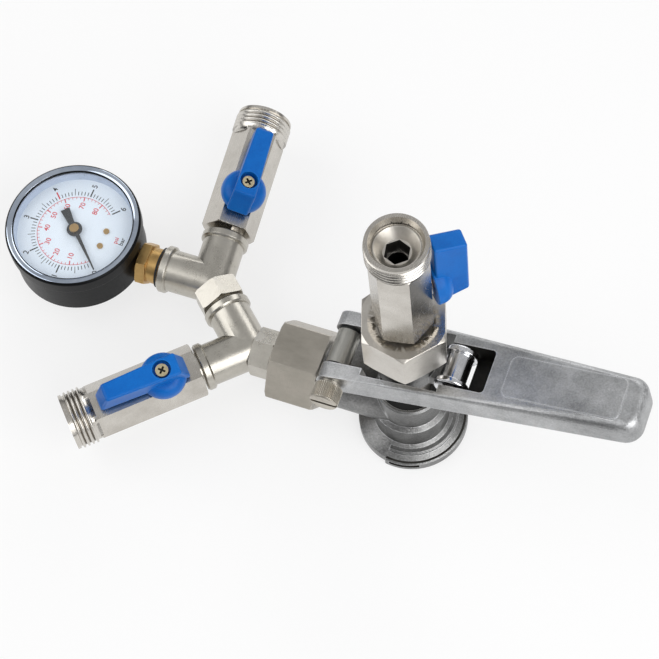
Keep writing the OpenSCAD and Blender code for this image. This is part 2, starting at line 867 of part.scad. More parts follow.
// Crests of the pipe thread, as rings
module thread_rings(hex_h) {
  for (z = [first_crest_h : thread_pitch : thread_h - lip_h - thread_pitch])
    translate([0, 0, hex_h + z])
      rotate_extrude()
        polygon([[thread_root_r - gap, 0], [thread_root_r, 0],
          [thread_r, thread_pitch * flank_share], [thread_r, thread_pitch * (flank_share + crest_share)],
          [thread_root_r, thread_pitch * (flank_share * 2 + crest_share)],
          [thread_root_r - gap, thread_pitch * (flank_share * 2 + crest_share)]]);
}

// Body of a ball valve, with its stem and its hexagon's end at the heights given
module valve_body(stem, hex_h) {
  difference() {
    union() {
      rotate([0, 0, 30]) hex_bar(valve_af, hex_h, hex_chamfer);
      translate([0, 0, -tail_len]) cylinder(r = tail_r, h = tail_len + over);
      translate([0, 0, hex_h - over]) cylinder(r = thread_root_r, h = thread_h + over - rub);
      thread_rings(hex_h);
      translate([0, 0, hex_h + thread_h - lip_h]) cylinder(r = lip_r, h = lip_h);
      translate([0, 0, stem])
        rotate([0, 90, 0]) cylinder(r = packing_r, h = valve_af / 2 + packing_h);
    }
    translate([0, 0, -tail_len - over]) cylinder(r = tail_bore_r, h = tail_len + stem + over);
    translate([0, 0, stem - chamber_back])
      cylinder(r = valve_chamber_r, h = chamber_back + chamber_front + over);
    translate([0, 0, stem + chamber_front])
      cylinder(r = socket_bore_r, h = hex_h + thread_h - stem - chamber_front + over);
    translate([0, 0, hex_h + thread_h - mouth_cone_h])
      rotate_extrude()
        polygon([[0, 0], [socket_bore_r, 0], [mouth_r, mouth_cone_h], [mouth_r, mouth_cone_h + over],
          [0, mouth_cone_h + over]]);
    translate([0, 0, stem])
      rotate([0, 90, 0]) {
        cylinder(r = stem_r + fit, h = valve_af);
        cylinder(r = stem_flange_r + fit, h = stem_flange_low + stem_flange_h + fit);
      }
  }
}

// Screwed plug that holds the seats, with a key socket in the mouth
module valve_retainer(stem, hex_h) {
  top = hex_h + thread_h - retainer_drop;
  difference() {
    union() {
      translate([0, 0, stem + chamber_front])
        cylinder(r = socket_bore_r - fit, h = top - stem - chamber_front);
      translate([0, 0, stem + ball_bore_r + seat_t])
        cylinder(r = retainer_nose_r, h = chamber_front - ball_bore_r - seat_t + over);
    }
    translate([0, 0, top - dish_cone_h])
      rotate_extrude()
        polygon([[0, 0], [dish_key_r, 0], [dish_mouth_r, dish_cone_h], [dish_mouth_r, dish_cone_h + over],
          [0, dish_cone_h + over]]);
    translate([0, 0, top - dish_cone_h - key_h])
      cylinder(r = key_af / sqrt(3), h = key_h + over, $fn = 6);
    translate([0, 0, stem]) cylinder(r = retainer_bore_r, h = hex_h);
  }
}

// Two plastic seats on both sides of the ball
module valve_seats(stem) {
  for (s = [-1, 1])
    translate([0, 0, stem])
      difference() {
        translate([0, 0, s * (ball_bore_r + seat_t / 2)]) cylinder(r = seat_r, h = seat_t, center = true);
        sphere(r = ball_r + seat_gap);
        cylinder(r = seat_bore_r, h = (ball_r + seat_t) * 2, center = true);
      }
}

// Drilled ball with the slot that its stem turns
module valve_ball(stem) {
  translate([0, 0, stem])
    difference() {
      sphere(r = ball_r);
      cylinder(r = ball_bore_r, h = ball_r * 2 + over, center = true);
      translate([tang_low, -tang_w / 2 - fit, -tang_len / 2 - rub])
        cube([ball_r, tang_w + fit + fit, tang_len + rub + rub]);
    }
}

// Stem between the ball and the handle
module valve_stem(stem) {
  translate([0, 0, stem])
    difference() {
      union() {
        intersection() {
          translate([tang_low + fit, -tang_w / 2, -tang_len / 2])
            cube([stem_flange_low - tang_low, tang_w, tang_len]);
          rotate([0, 90, 0]) cylinder(r = tang_len / 2, h = stem_top_h);
        }
        translate([stem_flange_low, 0, 0])
          rotate([0, 90, 0]) cylinder(r = stem_flange_r, h = stem_flange_h);
        translate([stem_flange_low, 0, 0])
          rotate([0, 90, 0]) cylinder(r = stem_r, h = stem_top_h - stem_flange_low);
      }
      translate([stem_top_h - screw_len, 0, 0])
        rotate([0, 90, 0]) cylinder(r = screw_r + fit, h = screw_len + over);
    }
}

// Rounded corner of a handle
module edge_ball(x, y, z) {
  translate([x, y, z]) sphere(r = finger_edge_r, $fn = 16);
}

// Handle with a long finger over a round skirt
module valve_handle(stem) {
  tip_low_z = finger_len + finger_slope;
  back_low_z = finger_back + finger_slope;
  tip_y = finger_tip_w - finger_edge_r;
  root_y = finger_root_w - finger_edge_r;
  translate([0, 0, stem])
    difference() {
      union() {
        rotate([0, 90, 0])
          rotate_extrude()
            polygon([[0, skirt_low_h], [skirt_r, skirt_low_h], [skirt_r, skirt_low_h + skirt_wall_h],
              [skirt_top_r + (skirt_r - skirt_top_r) * 0.6, (skirt_low_h + skirt_wall_h + skirt_top_h) / 2],
              [skirt_top_r, skirt_top_h], [0, skirt_top_h]]);
        hull()
          for (s = [-1, 1]) {
            edge_ball(finger_low_h + finger_edge_r, s * tip_y, tip_low_z - finger_edge_r);
            edge_ball(handle_top_h - finger_edge_r, s * tip_y, finger_len - finger_edge_r);
            edge_ball(finger_low_h + finger_edge_r, s * root_y, finger_edge_r - back_low_z);
            edge_ball(handle_top_h - finger_edge_r, s * root_y, finger_edge_r - finger_back);
          }
      }
      rotate([0, 90, 0]) cylinder(r = handle_bore_r, h = stem_top_h + rub);
      rotate([0, 90, 0]) cylinder(r = screw_r + fit, h = handle_top_h);
      translate([handle_top_h - counterbore_h, 0, 0])
        rotate([0, 90, 0]) cylinder(r = counterbore_r, h = counterbore_h + over);
    }
}

// Cross-recessed screw that holds the handle on its stem
module valve_screw(stem) {
  seat = handle_top_h - counterbore_h;
  translate([0, 0, stem])
    difference() {
      union() {
        translate([seat, 0, 0]) rotate([0, 90, 0]) cylinder(r = screw_head_r, h = screw_head_h);
        translate([stem_top_h - screw_len + gap, 0, 0])
          rotate([0, 90, 0]) cylinder(r = screw_r, h = seat - stem_top_h + screw_len);
      }
      for (a = [45, 135])
        translate([seat + screw_head_h - screw_cross_h, 0, 0])
          rotate([a, 0, 0])
            translate([0, -screw_cross_len / 2, -screw_cross_w / 2])
              cube([screw_cross_h + over, screw_cross_len, screw_cross_w]);
    }
}

module top_valve_body() { color([0.8, 0.79, 0.76]) on_top_valve() valve_body(top_stem_h, top_hex_h); }
module top_valve_retainer() { color([0.7, 0.68, 0.62]) on_top_valve() valve_retainer(top_stem_h, top_hex_h); }
module top_valve_seats() { color([0.95, 0.95, 0.93]) on_top_valve() valve_seats(top_stem_h); }
module top_valve_ball() { color([0.85, 0.85, 0.86]) on_top_valve() valve_ball(top_stem_h); }
module top_valve_stem() { color([0.6, 0.55, 0.4]) on_top_valve() valve_stem(top_stem_h); }
module top_valve_handle() { color([0.09, 0.41, 0.78]) on_top_valve() valve_handle(top_stem_h); }
module top_valve_screw() { color([0.75, 0.66, 0.42]) on_top_valve() valve_screw(top_stem_h); }

module left_valve_body() { color([0.8, 0.79, 0.76]) on_left_valve() valve_body(stem_h, valve_hex_h); }
module left_valve_retainer() { color([0.7, 0.68, 0.62]) on_left_valve() valve_retainer(stem_h, valve_hex_h); }
module left_valve_seats() { color([0.95, 0.95, 0.93]) on_left_valve() valve_seats(stem_h); }
module left_valve_ball() { color([0.85, 0.85, 0.86]) on_left_valve() valve_ball(stem_h); }
module left_valve_stem() { color([0.6, 0.55, 0.4]) on_left_valve() valve_stem(stem_h); }
module left_valve_handle() { color([0.09, 0.41, 0.78]) on_left_valve() valve_handle(stem_h); }
module left_valve_screw() { color([0.75, 0.66, 0.42]) on_left_valve() valve_screw(stem_h); }

module rear_valve_body() { color([0.8, 0.79, 0.76]) on_rear_valve() valve_body(stem_h, valve_hex_h); }
module rear_valve_retainer() { color([0.7, 0.68, 0.62]) on_rear_valve() valve_retainer(stem_h, valve_hex_h); }
module rear_valve_seats() { color([0.95, 0.95, 0.93]) on_rear_valve() valve_seats(stem_h); }
module rear_valve_ball() { color([0.85, 0.85, 0.86]) on_rear_valve() valve_ball(stem_h); }
module rear_valve_stem() { color([0.6, 0.55, 0.4]) on_rear_valve() valve_stem(stem_h); }
module rear_valve_handle() { color([0.09, 0.41, 0.78]) on_rear_valve() valve_handle(stem_h); }
module rear_valve_screw() { color([0.75, 0.66, 0.42]) on_rear_valve() valve_screw(stem_h); }

// Frame at the upper fork with the gauge's stem along its own Z
module on_gauge_stem() {
  translate([fork2_x, fork2_y, inlet_h]) rotate([0, -90, 0]) children();
}

module on_gauge() {
  translate([gauge_x, gauge_y, 0]) children();
}

// Brass stem of the gauge with its spanner hexagon and inner block
module gauge_stem() {
  color([0.72, 0.55, 0.3])
    difference() {
      union() {
        on_gauge_stem() {
          translate([0, 0, branch_len - tail_len]) cylinder(r = tail_r, h = tail_len + over);
          translate([0, 0, branch_len + gauge_seal_t])
            cylinder(r = gauge_neck_r, h = gauge_neck_to - branch_len - gauge_seal_t);
          translate([0, 0, branch_len]) cylinder(r = tail_r, h = gauge_neck_to - branch_len);
          translate([0, 0, gauge_neck_to])
            rotate([0, 0, 30]) hex_bar(gauge_hex_af, gauge_hex_to - gauge_neck_to, collar_round);
          translate([0, 0, gauge_hex_to - over])
            cylinder(r = shank_r, h = shank_to - gauge_hex_to + over);
        }
        translate([gauge_x + tube_bend_r - block_w / 2, gauge_y - block_len / 2, block_low_h])
          cube([block_w, block_len, block_top_h - block_low_h]);
      }
      on_gauge_stem() cylinder(r = screw_r, h = gauge_reach - tube_bend_r);
    }
}

// Dark sealing ring between the stem and the fork
module gauge_seal() {
  color([0.12, 0.2, 0.14])
    on_gauge_stem()
      translate([0, 0, branch_len])
        difference() {
          cylinder(r = gauge_seal_r, h = gauge_seal_t);
          translate([0, 0, -over]) cylinder(r = tail_r + fit, h = gauge_seal_t + over + over);
        }
}

// Cup of the gauge
module gauge_case() {
  color([0.07, 0.07, 0.08])
    difference() {
      on_gauge()
        difference() {
          rotate_extrude()
            polygon([[0, case_low_h], [case_r - bezel_round, case_low_h], [case_r, case_low_h + bezel_round],
              [case_r, case_top_h], [0, case_top_h]]);
          translate([0, 0, case_low_h + case_wall])
            cylinder(r = case_r - case_wall, h = case_top_h - case_low_h);
        }
      on_gauge_stem()
        translate([0, 0, gauge_hex_to - over])
          cylinder(r = shank_r + fit, h = gauge_reach - gauge_hex_to - tube_bend_r + block_w);
    }
}

// Ring that holds the lens on the case
module gauge_bezel() {
  color([0.5, 0.51, 0.53])
    on_gauge()
      rotate_extrude()
        polygon([[case_r + fit, bezel_low_h], [bezel_r, bezel_low_h], [bezel_r, bezel_top_h - bezel_round],
          [bezel_r - bezel_round, bezel_top_h], [bezel_in_r + bezel_round, bezel_top_h],
          [bezel_in_r, bezel_top_h - bezel_lip_t], [lens_r + fit, bezel_top_h - bezel_lip_t],
          [lens_r + fit, case_top_h + rub], [case_r + fit, case_top_h + rub]]);
}

// Clear lens
module gauge_lens() {
  color([0.85, 0.9, 0.95, 0.35])
    on_gauge()
      translate([0, 0, bezel_top_h - bezel_lip_t - lens_t - fit]) cylinder(r = lens_r, h = lens_t);
}

// Dial plate
module gauge_dial() {
  color([0.87, 0.93, 0.97])
    on_gauge()
      translate([0, 0, dial_h])
        difference() {
          cylinder(r = dial_r, h = dial_t);
          translate([0, 0, -over]) cylinder(r = dial_hole_r, h = dial_t + over + over);
          for (s = [-1, 1])
            translate([dial_screw_x, s * dial_screw_y, -over])
              cylinder(r = dial_screw_shank_r + fit, h = dial_t + over + over);
        }
}

// Two brass screws that hold the dial to the movement's block
module dial_screws() {
  color([0.72, 0.56, 0.3])
    on_gauge()
      for (s = [-1, 1])
        translate([dial_screw_x, s * dial_screw_y, 0]) {
          translate([0, 0, dial_h + dial_t]) cylinder(r = dial_screw_r, h = dial_screw_head_h);
          translate([0, 0, plate_h]) cylinder(r = dial_screw_shank_r, h = dial_h + dial_t - plate_h + fit);
        }
}

// Pointer
module gauge_needle() {
  color([0.05, 0.05, 0.05])
    on_gauge()
      translate([0, 0, needle_h])
        rotate([0, 0, needle_zero])
          difference() {
            union() {
              linear_extrude(height = needle_t)
                polygon([[-needle_tail, -needle_tail_w], [0, -needle_root_w], [needle_len, -needle_tip_w],
                  [needle_len, needle_tip_w], [0, needle_root_w], [-needle_tail, needle_tail_w]]);
              cylinder(r = needle_eye_r, h = needle_t);
            }
            translate([0, 0, -over]) cylinder(r = arbor_r + fit, h = needle_t + over + over);
          }
}

// Brass hub on the pointer's arbor
module needle_hub() {
  color([0.75, 0.58, 0.32])
    on_gauge() {
      translate([0, 0, needle_h + needle_t]) cylinder(r = hub_r, h = hub_h);
      translate([0, 0, pinion_low_h + pinion_h])
        cylinder(r = arbor_r, h = needle_h + needle_t - pinion_low_h - pinion_h + fit);
    }
}

// Curved spring tube that pressure opens
module bourdon_tube() {
  color([0.7, 0.52, 0.28])
    on_gauge()
      rotate([0, 0, tube_from])
        translate([0, 0, tube_low_h])
          rotate_extrude(angle = tube_turn)
            translate([tube_bend_r, 0]) square([tube_w, tube_top_h - tube_low_h]);
}

// Plate on which the gear train turns
module movement_plate() {
  color([0.74, 0.6, 0.36])
    on_gauge() {
      translate([plate_back_x, -plate_w / 2, plate_h - plate_t])
        cube([plate_front_x - plate_back_x, plate_w, plate_t]);
      translate([sector_pivot_x, 0, plate_h - fit])
        cylinder(r = sector_pin_r, h = dial_h - plate_h - gap);
    }
}

// Toothed quadrant that the tube swings
module movement_sector() {
  color([0.76, 0.62, 0.36])
    on_gauge()
      translate([sector_pivot_x, 0, pinion_low_h])
        difference() {
          union() {
            rotate([0, 0, 180 - sector_swing / 2]) {
              rotate([0, 0, -sector_deg / 2])
                rotate_extrude(angle = sector_deg)
                  translate([sector_r - sector_arm_w, 0]) square([sector_arm_w, pinion_h]);
              translate([0, -sector_arm_w / 2, 0])
                cube([sector_r - sector_arm_w / 2, sector_arm_w, pinion_h]);
            }
            cylinder(r = sector_hub_r, h = pinion_h);
          }
          translate([0, 0, -over]) cylinder(r = sector_pin_r + fit, h = pinion_h + over + over);
        }
}

// Small gear on the pointer's arbor
module movement_pinion() {
  color([0.7, 0.55, 0.3])
    on_gauge() {
      translate([0, 0, pinion_low_h]) cylinder(r = pinion_r, h = pinion_h);
      translate([0, 0, plate_h + fit]) cylinder(r = arbor_r, h = pinion_low_h - plate_h);
    }
}

coupler_body();
base_seal();
gland_seal();
probe();
probe_tip_seal();
check_ball();
ball_retainer();
probe_yoke();
lever();
hinge_pin();
hinge_washers();
lift_roller();
roller_pin();
outlet_nut();
outlet_washer();
inlet_adaptor();
inlet_washer();
gas_check_valve();
fork_lower();
fork_upper();
top_valve_body();
top_valve_retainer();
top_valve_seats();
top_valve_ball();
top_valve_stem();
top_valve_handle();
top_valve_screw();
left_valve_body();
left_valve_retainer();
left_valve_seats();
left_valve_ball();
left_valve_stem();
left_valve_handle();
left_valve_screw();
rear_valve_body();
rear_valve_retainer();
rear_valve_seats();
rear_valve_ball();
rear_valve_stem();
rear_valve_handle();
rear_valve_screw();
gauge_stem();
gauge_seal();
gauge_case();
gauge_bezel();
gauge_lens();
gauge_dial();
dial_screws();
gauge_needle();
needle_hub();
bourdon_tube();
movement_plate();
movement_sector();
movement_pinion();
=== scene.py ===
import json
import math

import bmesh
import bpy
from mathutils import Matrix, Vector


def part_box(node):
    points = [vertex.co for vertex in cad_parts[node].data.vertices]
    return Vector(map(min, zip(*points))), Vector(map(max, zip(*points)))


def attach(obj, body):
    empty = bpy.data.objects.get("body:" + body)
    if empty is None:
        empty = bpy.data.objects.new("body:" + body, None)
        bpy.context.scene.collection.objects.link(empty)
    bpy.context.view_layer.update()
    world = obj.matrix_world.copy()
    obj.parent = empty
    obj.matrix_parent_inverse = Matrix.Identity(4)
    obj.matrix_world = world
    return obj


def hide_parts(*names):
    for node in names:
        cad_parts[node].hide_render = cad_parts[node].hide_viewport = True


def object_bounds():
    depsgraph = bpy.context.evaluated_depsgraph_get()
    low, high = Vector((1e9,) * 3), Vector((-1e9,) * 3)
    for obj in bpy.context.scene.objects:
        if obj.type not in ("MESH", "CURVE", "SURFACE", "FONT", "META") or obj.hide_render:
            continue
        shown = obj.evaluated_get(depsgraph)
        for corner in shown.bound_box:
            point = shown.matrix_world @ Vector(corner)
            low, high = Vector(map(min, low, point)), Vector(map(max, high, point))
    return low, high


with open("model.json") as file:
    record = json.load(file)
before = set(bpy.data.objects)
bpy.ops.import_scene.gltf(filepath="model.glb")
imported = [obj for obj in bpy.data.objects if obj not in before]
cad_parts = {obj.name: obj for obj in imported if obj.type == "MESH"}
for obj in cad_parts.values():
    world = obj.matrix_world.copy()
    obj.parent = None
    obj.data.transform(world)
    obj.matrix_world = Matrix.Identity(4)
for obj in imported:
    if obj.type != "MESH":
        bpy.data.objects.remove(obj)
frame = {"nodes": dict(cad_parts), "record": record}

bl_info = {
    "name": "Keg coupler with gas manifold",
    "version": (1, 0, 0),
    "blender": (4, 5, 0),
    "location": "3D View > Sidebar > Coupler",
    "description": "Finishes the coupler: castings, knurled pin, handles, gauge print and stage",
    "category": "Object",
}

MM = 0.001
CAD_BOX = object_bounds()
BODY_OF = {n: b for b, ns in frame["record"]["behaviour"]["bodies"].items() for n in ns}
JOINTS = {j["name"]: j for j in frame["record"]["behaviour"]["joints"]}
MOUNTS = {m["name"]: m for m in frame["record"]["mounts"]}
WAYS = ("top", "left", "rear")
LEVER_RISE = math.radians(11.1)
ALONG_X = Matrix.Rotation(math.radians(90), 4, "Y")
BUMP_DISTANCE = 0.6 * MM
WELD, SOLID_WELD = 1e-7, 2e-6
FLAT_ANGLE = math.radians(0.3)
GROUPS = {}
FINISH = {}

# Places on the solids by which a finish or a rounded edge is told from its neighbours
BARREL_REACH = 4.6 * MM
SOCKET_REACH, SOCKET_TOP = 16.7 * MM, 7.0 * MM
SLOT_REACH, SLOT_LOW, SLOT_TOP = 21.9 * MM, 0.5 * MM, 4.0 * MM
WINDOW_FROM, WINDOW_TO, WINDOW_HALF, WINDOW_OVER = 42.0 * MM, 59.5 * MM, 8.9 * MM, 5.5 * MM
NUT_DISH_REACH = 13.2 * MM
HEX_CORNER_REACH = 10.9 * MM
GROOVE_NEAR, GROOVE_FAR = 9.8 * MM, 10.75 * MM
KEY_SOCKET_REACH = 4.85 * MM


# Places read from the frame

def joint_place(name):
    """The point and the axis of a joint at rest."""
    return Vector(JOINTS[name]["pos_m"]), Vector(JOINTS[name]["axis"]).normalized()


def outlet_axis(way):
    """The direction that a valve's mouth looks in."""
    return Vector(MOUNTS[way + "_outlet"]["axis"]).normalized()


def from_axis(point, centre, axis):
    """How far a point lies along an axis, and how far away from it."""
    along = (point - centre).dot(axis)
    return along, (point - centre - axis * along).length


def valve_frame(way):
    """A valve's own frame: X along its stem, Z toward its mouth, at the crossing of the two."""
    centre, stem = joint_place(way + "_tap_turn")
    mouth = outlet_axis(way)
    side = mouth.cross(stem)
    turn = Matrix((stem, side, mouth)).transposed().to_4x4()
    return Matrix.Translation(centre) @ turn


# Node helpers

def node(tree, kind, place=(0, 0), **values):
    """Adds a node and sets its properties, or its inputs where the name is an input's."""
    made = tree.nodes.new(kind)
    made.location = place
    for key, value in values.items():
        if hasattr(made, key):
            setattr(made, key, value)
        else:
            made.inputs[key.replace("_", " ")].default_value = value
    return made


def link(tree, *joins):
    """Joins outputs to inputs, given as (node, output, node, input)."""
    for source, out, target, into in joins:
        tree.links.new(source.outputs[out], target.inputs[into])


def new_group(name, inputs, outputs):
    """An empty shader group with named sockets: (name, kind, default)."""
    group = bpy.data.node_groups.new(name, "ShaderNodeTree")
    for label, kind, default in inputs:
        socket = group.interface.new_socket(label, in_out="INPUT", socket_type="NodeSocket" + kind)
        socket.default_value = default
    for label, kind in outputs:
        group.interface.new_socket(label, in_out="OUTPUT", socket_type="NodeSocket" + kind)
    source = node(group, "NodeGroupInput", (-900, 0))
    result = node(group, "NodeGroupOutput", (700, 0))
    return group, source, result


def grain_group():
    """Fine grain, stretched along one direction where a finish is brushed."""
    group, source, result = new_group(
        "surface_grain",
        [("Scale", "Float", 800.0), ("Stretch", "Vector", (1.0, 1.0, 1.0)), ("Coarse", "Float", 0.3)],
        [("Value", "Float"), ("Height", "Float")])
    coords = node(group, "ShaderNodeTexCoord", (-900, -260))
    stretch = node(group, "ShaderNodeVectorMath", (-700, -100), operation="MULTIPLY")
    fine = node(group, "ShaderNodeTexNoise", (-480, 60), Detail=3.0, Roughness=0.6)
    shrink = node(group, "ShaderNodeMath", (-700, -320), operation="MULTIPLY")
    shrink.inputs[1].default_value = 0.17
    wide = node(group, "ShaderNodeTexNoise", (-480, -220), Detail=2.0)
    blend = node(group, "ShaderNodeMix", (-220, -60), data_type="FLOAT")
    spread = node(group, "ShaderNodeMapRange", (0, 60), From_Min=0.32, From_Max=0.68)
    link(group, (coords, "Object", stretch, 0), (source, "Stretch", stretch, 1),
         (stretch, 0, fine, "Vector"), (source, "Scale", fine, "Scale"), (source, "Scale", shrink, 0),
         (stretch, 0, wide, "Vector"), (shrink, 0, wide, "Scale"), (source, "Coarse", blend, "Factor"),
         (fine, "Fac", blend, "A"), (wide, "Fac", blend, "B"), (blend, "Result", spread, "Value"),
         (spread, "Result", result, "Value"), (blend, "Result", result, "Height"))
    return group


def turned_group():
    """Rings that a lathe leaves round an axis."""
    group, source, result = new_group(
        "turned_rings",
        [("Centre", "Vector", (0.0, 0.0, 0.0)), ("Axis", "Vector", (0.0, 0.0, 1.0)),
         ("Scale", "Float", 3000.0)],
        [("Value", "Float"), ("Height", "Float")])
    coords = node(group, "ShaderNodeTexCoord", (-900, -260))
    away = node(group, "ShaderNodeVectorMath", (-720, 0), operation="SUBTRACT")
    along = node(group, "ShaderNodeVectorMath", (-540, -160), operation="DOT_PRODUCT")
    shadow = node(group, "ShaderNodeVectorMath", (-380, -160), operation="SCALE")
    radial = node(group, "ShaderNodeVectorMath", (-220, 0), operation="SUBTRACT")
    reach = node(group, "ShaderNodeVectorMath", (-60, 0), operation="LENGTH")
    pair = node(group, "ShaderNodeCombineXYZ", (100, -60))
    rings = node(group, "ShaderNodeTexNoise", (260, -60), noise_dimensions="2D", Detail=2.0)
    spread = node(group, "ShaderNodeMapRange", (460, 80), From_Min=0.3, From_Max=0.7)
    link(group, (coords, "Object", away, 0), (source, "Centre", away, 1), (away, 0, along, 0),
         (source, "Axis", along, 1), (source, "Axis", shadow, 0), (along, "Value", shadow, "Scale"),
         (away, 0, radial, 0), (shadow, 0, radial, 1), (radial, 0, reach, 0), (reach, "Value", pair, 0),
         (along, "Value", pair, 1), (pair, 0, rings, "Vector"), (source, "Scale", rings, "Scale"),
         (rings, "Fac", spread, "Value"), (spread, "Result", result, "Value"),
         (rings, "Fac", result, "Height"))
    return group


def marks_group():
    """Broad cloudy marks and a few fine scratches from handling."""
    group, source, result = new_group(
        "handling_marks", [("Scale", "Float", 40.0), ("Scratches", "Float", 0.4)],
        [("Clouds", "Float"), ("Scratch", "Float")])
    coords = node(group, "ShaderNodeTexCoord", (-900, -260))
    clouds = node(group, "ShaderNodeTexNoise", (-500, 120), Detail=4.0, Roughness=0.55, Distortion=0.4)
    spread = node(group, "ShaderNodeMapRange", (-260, 160), From_Min=0.34, From_Max=0.66)
    tilt = node(group, "ShaderNodeMapping", (-700, -160), Rotation=(0.5, 0.3, 0.9), Scale=(9.0, 0.7, 2.0))
    lines = node(group, "ShaderNodeTexVoronoi", (-480, -200), feature="DISTANCE_TO_EDGE", Scale=90.0)
    thin = node(group, "ShaderNodeMapRange", (-260, -160), From_Max=0.02, To_Min=1.0, To_Max=0.0)
    patch = node(group, "ShaderNodeMath", (-40, -60), operation="MULTIPLY")
    share = node(group, "ShaderNodeMath", (140, -60), operation="MULTIPLY")
    link(group, (coords, "Object", clouds, "Vector"), (source, "Scale", clouds, "Scale"),
         (clouds, "Fac", spread, "Value"), (coords, "Object", tilt, "Vector"), (tilt, 0, lines, "Vector"),
         (lines, "Distance", thin, "Value"), (thin, "Result", patch, 0), (spread, "Result", patch, 1),
         (patch, 0, share, 0), (source, "Scratches", share, 1), (spread, "Result", result, "Clouds"),
         (share, 0, result, "Scratch"))
    return group


def wear_group():
    """Lighter edges: partly rubbed wear, partly a painted highlight where edges catch the light."""
    group, source, result = new_group(
        "edge_wear_and_glint", [("Radius", "Float", 0.0005), ("Amount", "Float", 1.0)], [("Mask", "Float")])
    soft = node(group, "ShaderNodeBevel", (-600, 0), samples=4)
    face = node(group, "ShaderNodeNewGeometry", (-600, -200))
    compare = node(group, "ShaderNodeVectorMath", (-400, -60), operation="DOT_PRODUCT")
    turned = node(group, "ShaderNodeMapRange", (-200, 0), From_Min=0.99, From_Max=0.86)
    scaled = node(group, "ShaderNodeMath", (60, 0), operation="MULTIPLY", use_clamp=True)
    link(group, (source, "Radius", soft, "Radius"), (soft, 0, compare, 0),
         (face, "True Normal", compare, 1), (compare, "Value", turned, "Value"),
         (turned, "Result", scaled, 0), (source, "Amount", scaled, 1), (scaled, 0, result, "Mask"))
    return group


def use_group(tree, group, place, **values):
    """Adds a shader group and sets its inputs."""
    return node(tree, "ShaderNodeGroup", place, node_tree=group, **values)


# Finishes

def finish_material(name, dark, light, rough, grain, marks, wear=None, turned=None, metallic=1.0, depth=0.05,
                    **fixed):
    """One finish: grain and clouds vary its colour and gloss, bumps shape its light, and lighter edges add
    rubbed wear and a painted highlight.
    """
    mat = bpy.data.materials.new(name)
    mat.use_nodes = True
    tree = mat.node_tree
    tree.nodes.clear()
    out = node(tree, "ShaderNodeOutputMaterial", (900, 0))
    skin = node(tree, "ShaderNodeBsdfPrincipled", (600, 0), Metallic=metallic, **fixed)
    fine = use_group(tree, GROUPS["grain"], (-700, 100), Scale=grain[0], Stretch=grain[1], Coarse=grain[2])
    mark = use_group(tree, GROUPS["marks"], (-700, -160), Scale=marks[0], Scratches=marks[1])
    share = node(tree, "ShaderNodeMix", (-440, 120), data_type="FLOAT", Factor=0.5)
    tint = node(tree, "ShaderNodeMix", (-200, 200), data_type="RGBA")
    tint.inputs["A"].default_value = (*dark, 1)
    tint.inputs["B"].default_value = (*light, 1)
    gloss = node(tree, "ShaderNodeMapRange", (-200, -40), To_Min=rough[0], To_Max=rough[1])
    roughen = node(tree, "ShaderNodeMath", (0, -60), operation="ADD", use_clamp=True)
    bump = node(tree, "ShaderNodeBump", (300, -260), Strength=depth, Distance=BUMP_DISTANCE)
    link(tree, (fine, "Value", share, "A"), (mark, "Clouds", share, "B"), (share, "Result", tint, "Factor"),
         (share, "Result", gloss, "Value"), (gloss, "Result", roughen, 0), (mark, "Scratch", roughen, 1),
         (roughen, 0, skin, "Roughness"), (bump, "Normal", skin, "Normal"), (skin, 0, out, 0))
    colour, height = (tint, "Result"), (fine, "Height")
    if turned:
        lathe = use_group(tree, GROUPS["turned"], (-700, -420), Centre=turned[0], Axis=turned[1],
                          Scale=turned[2])
        add = node(tree, "ShaderNodeMath", (100, -320), operation="MULTIPLY_ADD")
        add.inputs[1].default_value = turned[3]
        link(tree, (lathe, "Height", add, 0), (*height, add, 2))
        height = (add, 0)
    link(tree, (*height, bump, "Height"))
    # Lighter edges: partly rubbed wear, partly a painted highlight.
    if wear:
        edge_lightening = use_group(tree, GROUPS["wear"], (-440, -520), Radius=wear[0], Amount=wear[1])
        bright = node(tree, "ShaderNodeMix", (300, 200), data_type="RGBA")
        bright.inputs["B"].default_value = (*wear[2], 1)
        link(tree, (edge_lightening, "Mask", bright, "Factor"), (*colour, bright, "A"))
        colour = (bright, "Result")
    link(tree, (*colour, skin, "Base Color"))
    return mat


def rgb(value):
    """A colour written as it looks on a screen, made linear."""
    shares = (v / 255 for v in value)
    return tuple(c / 12.92 if c <= 0.04045 else ((c + 0.055) / 1.055) ** 2.4 for c in shares)


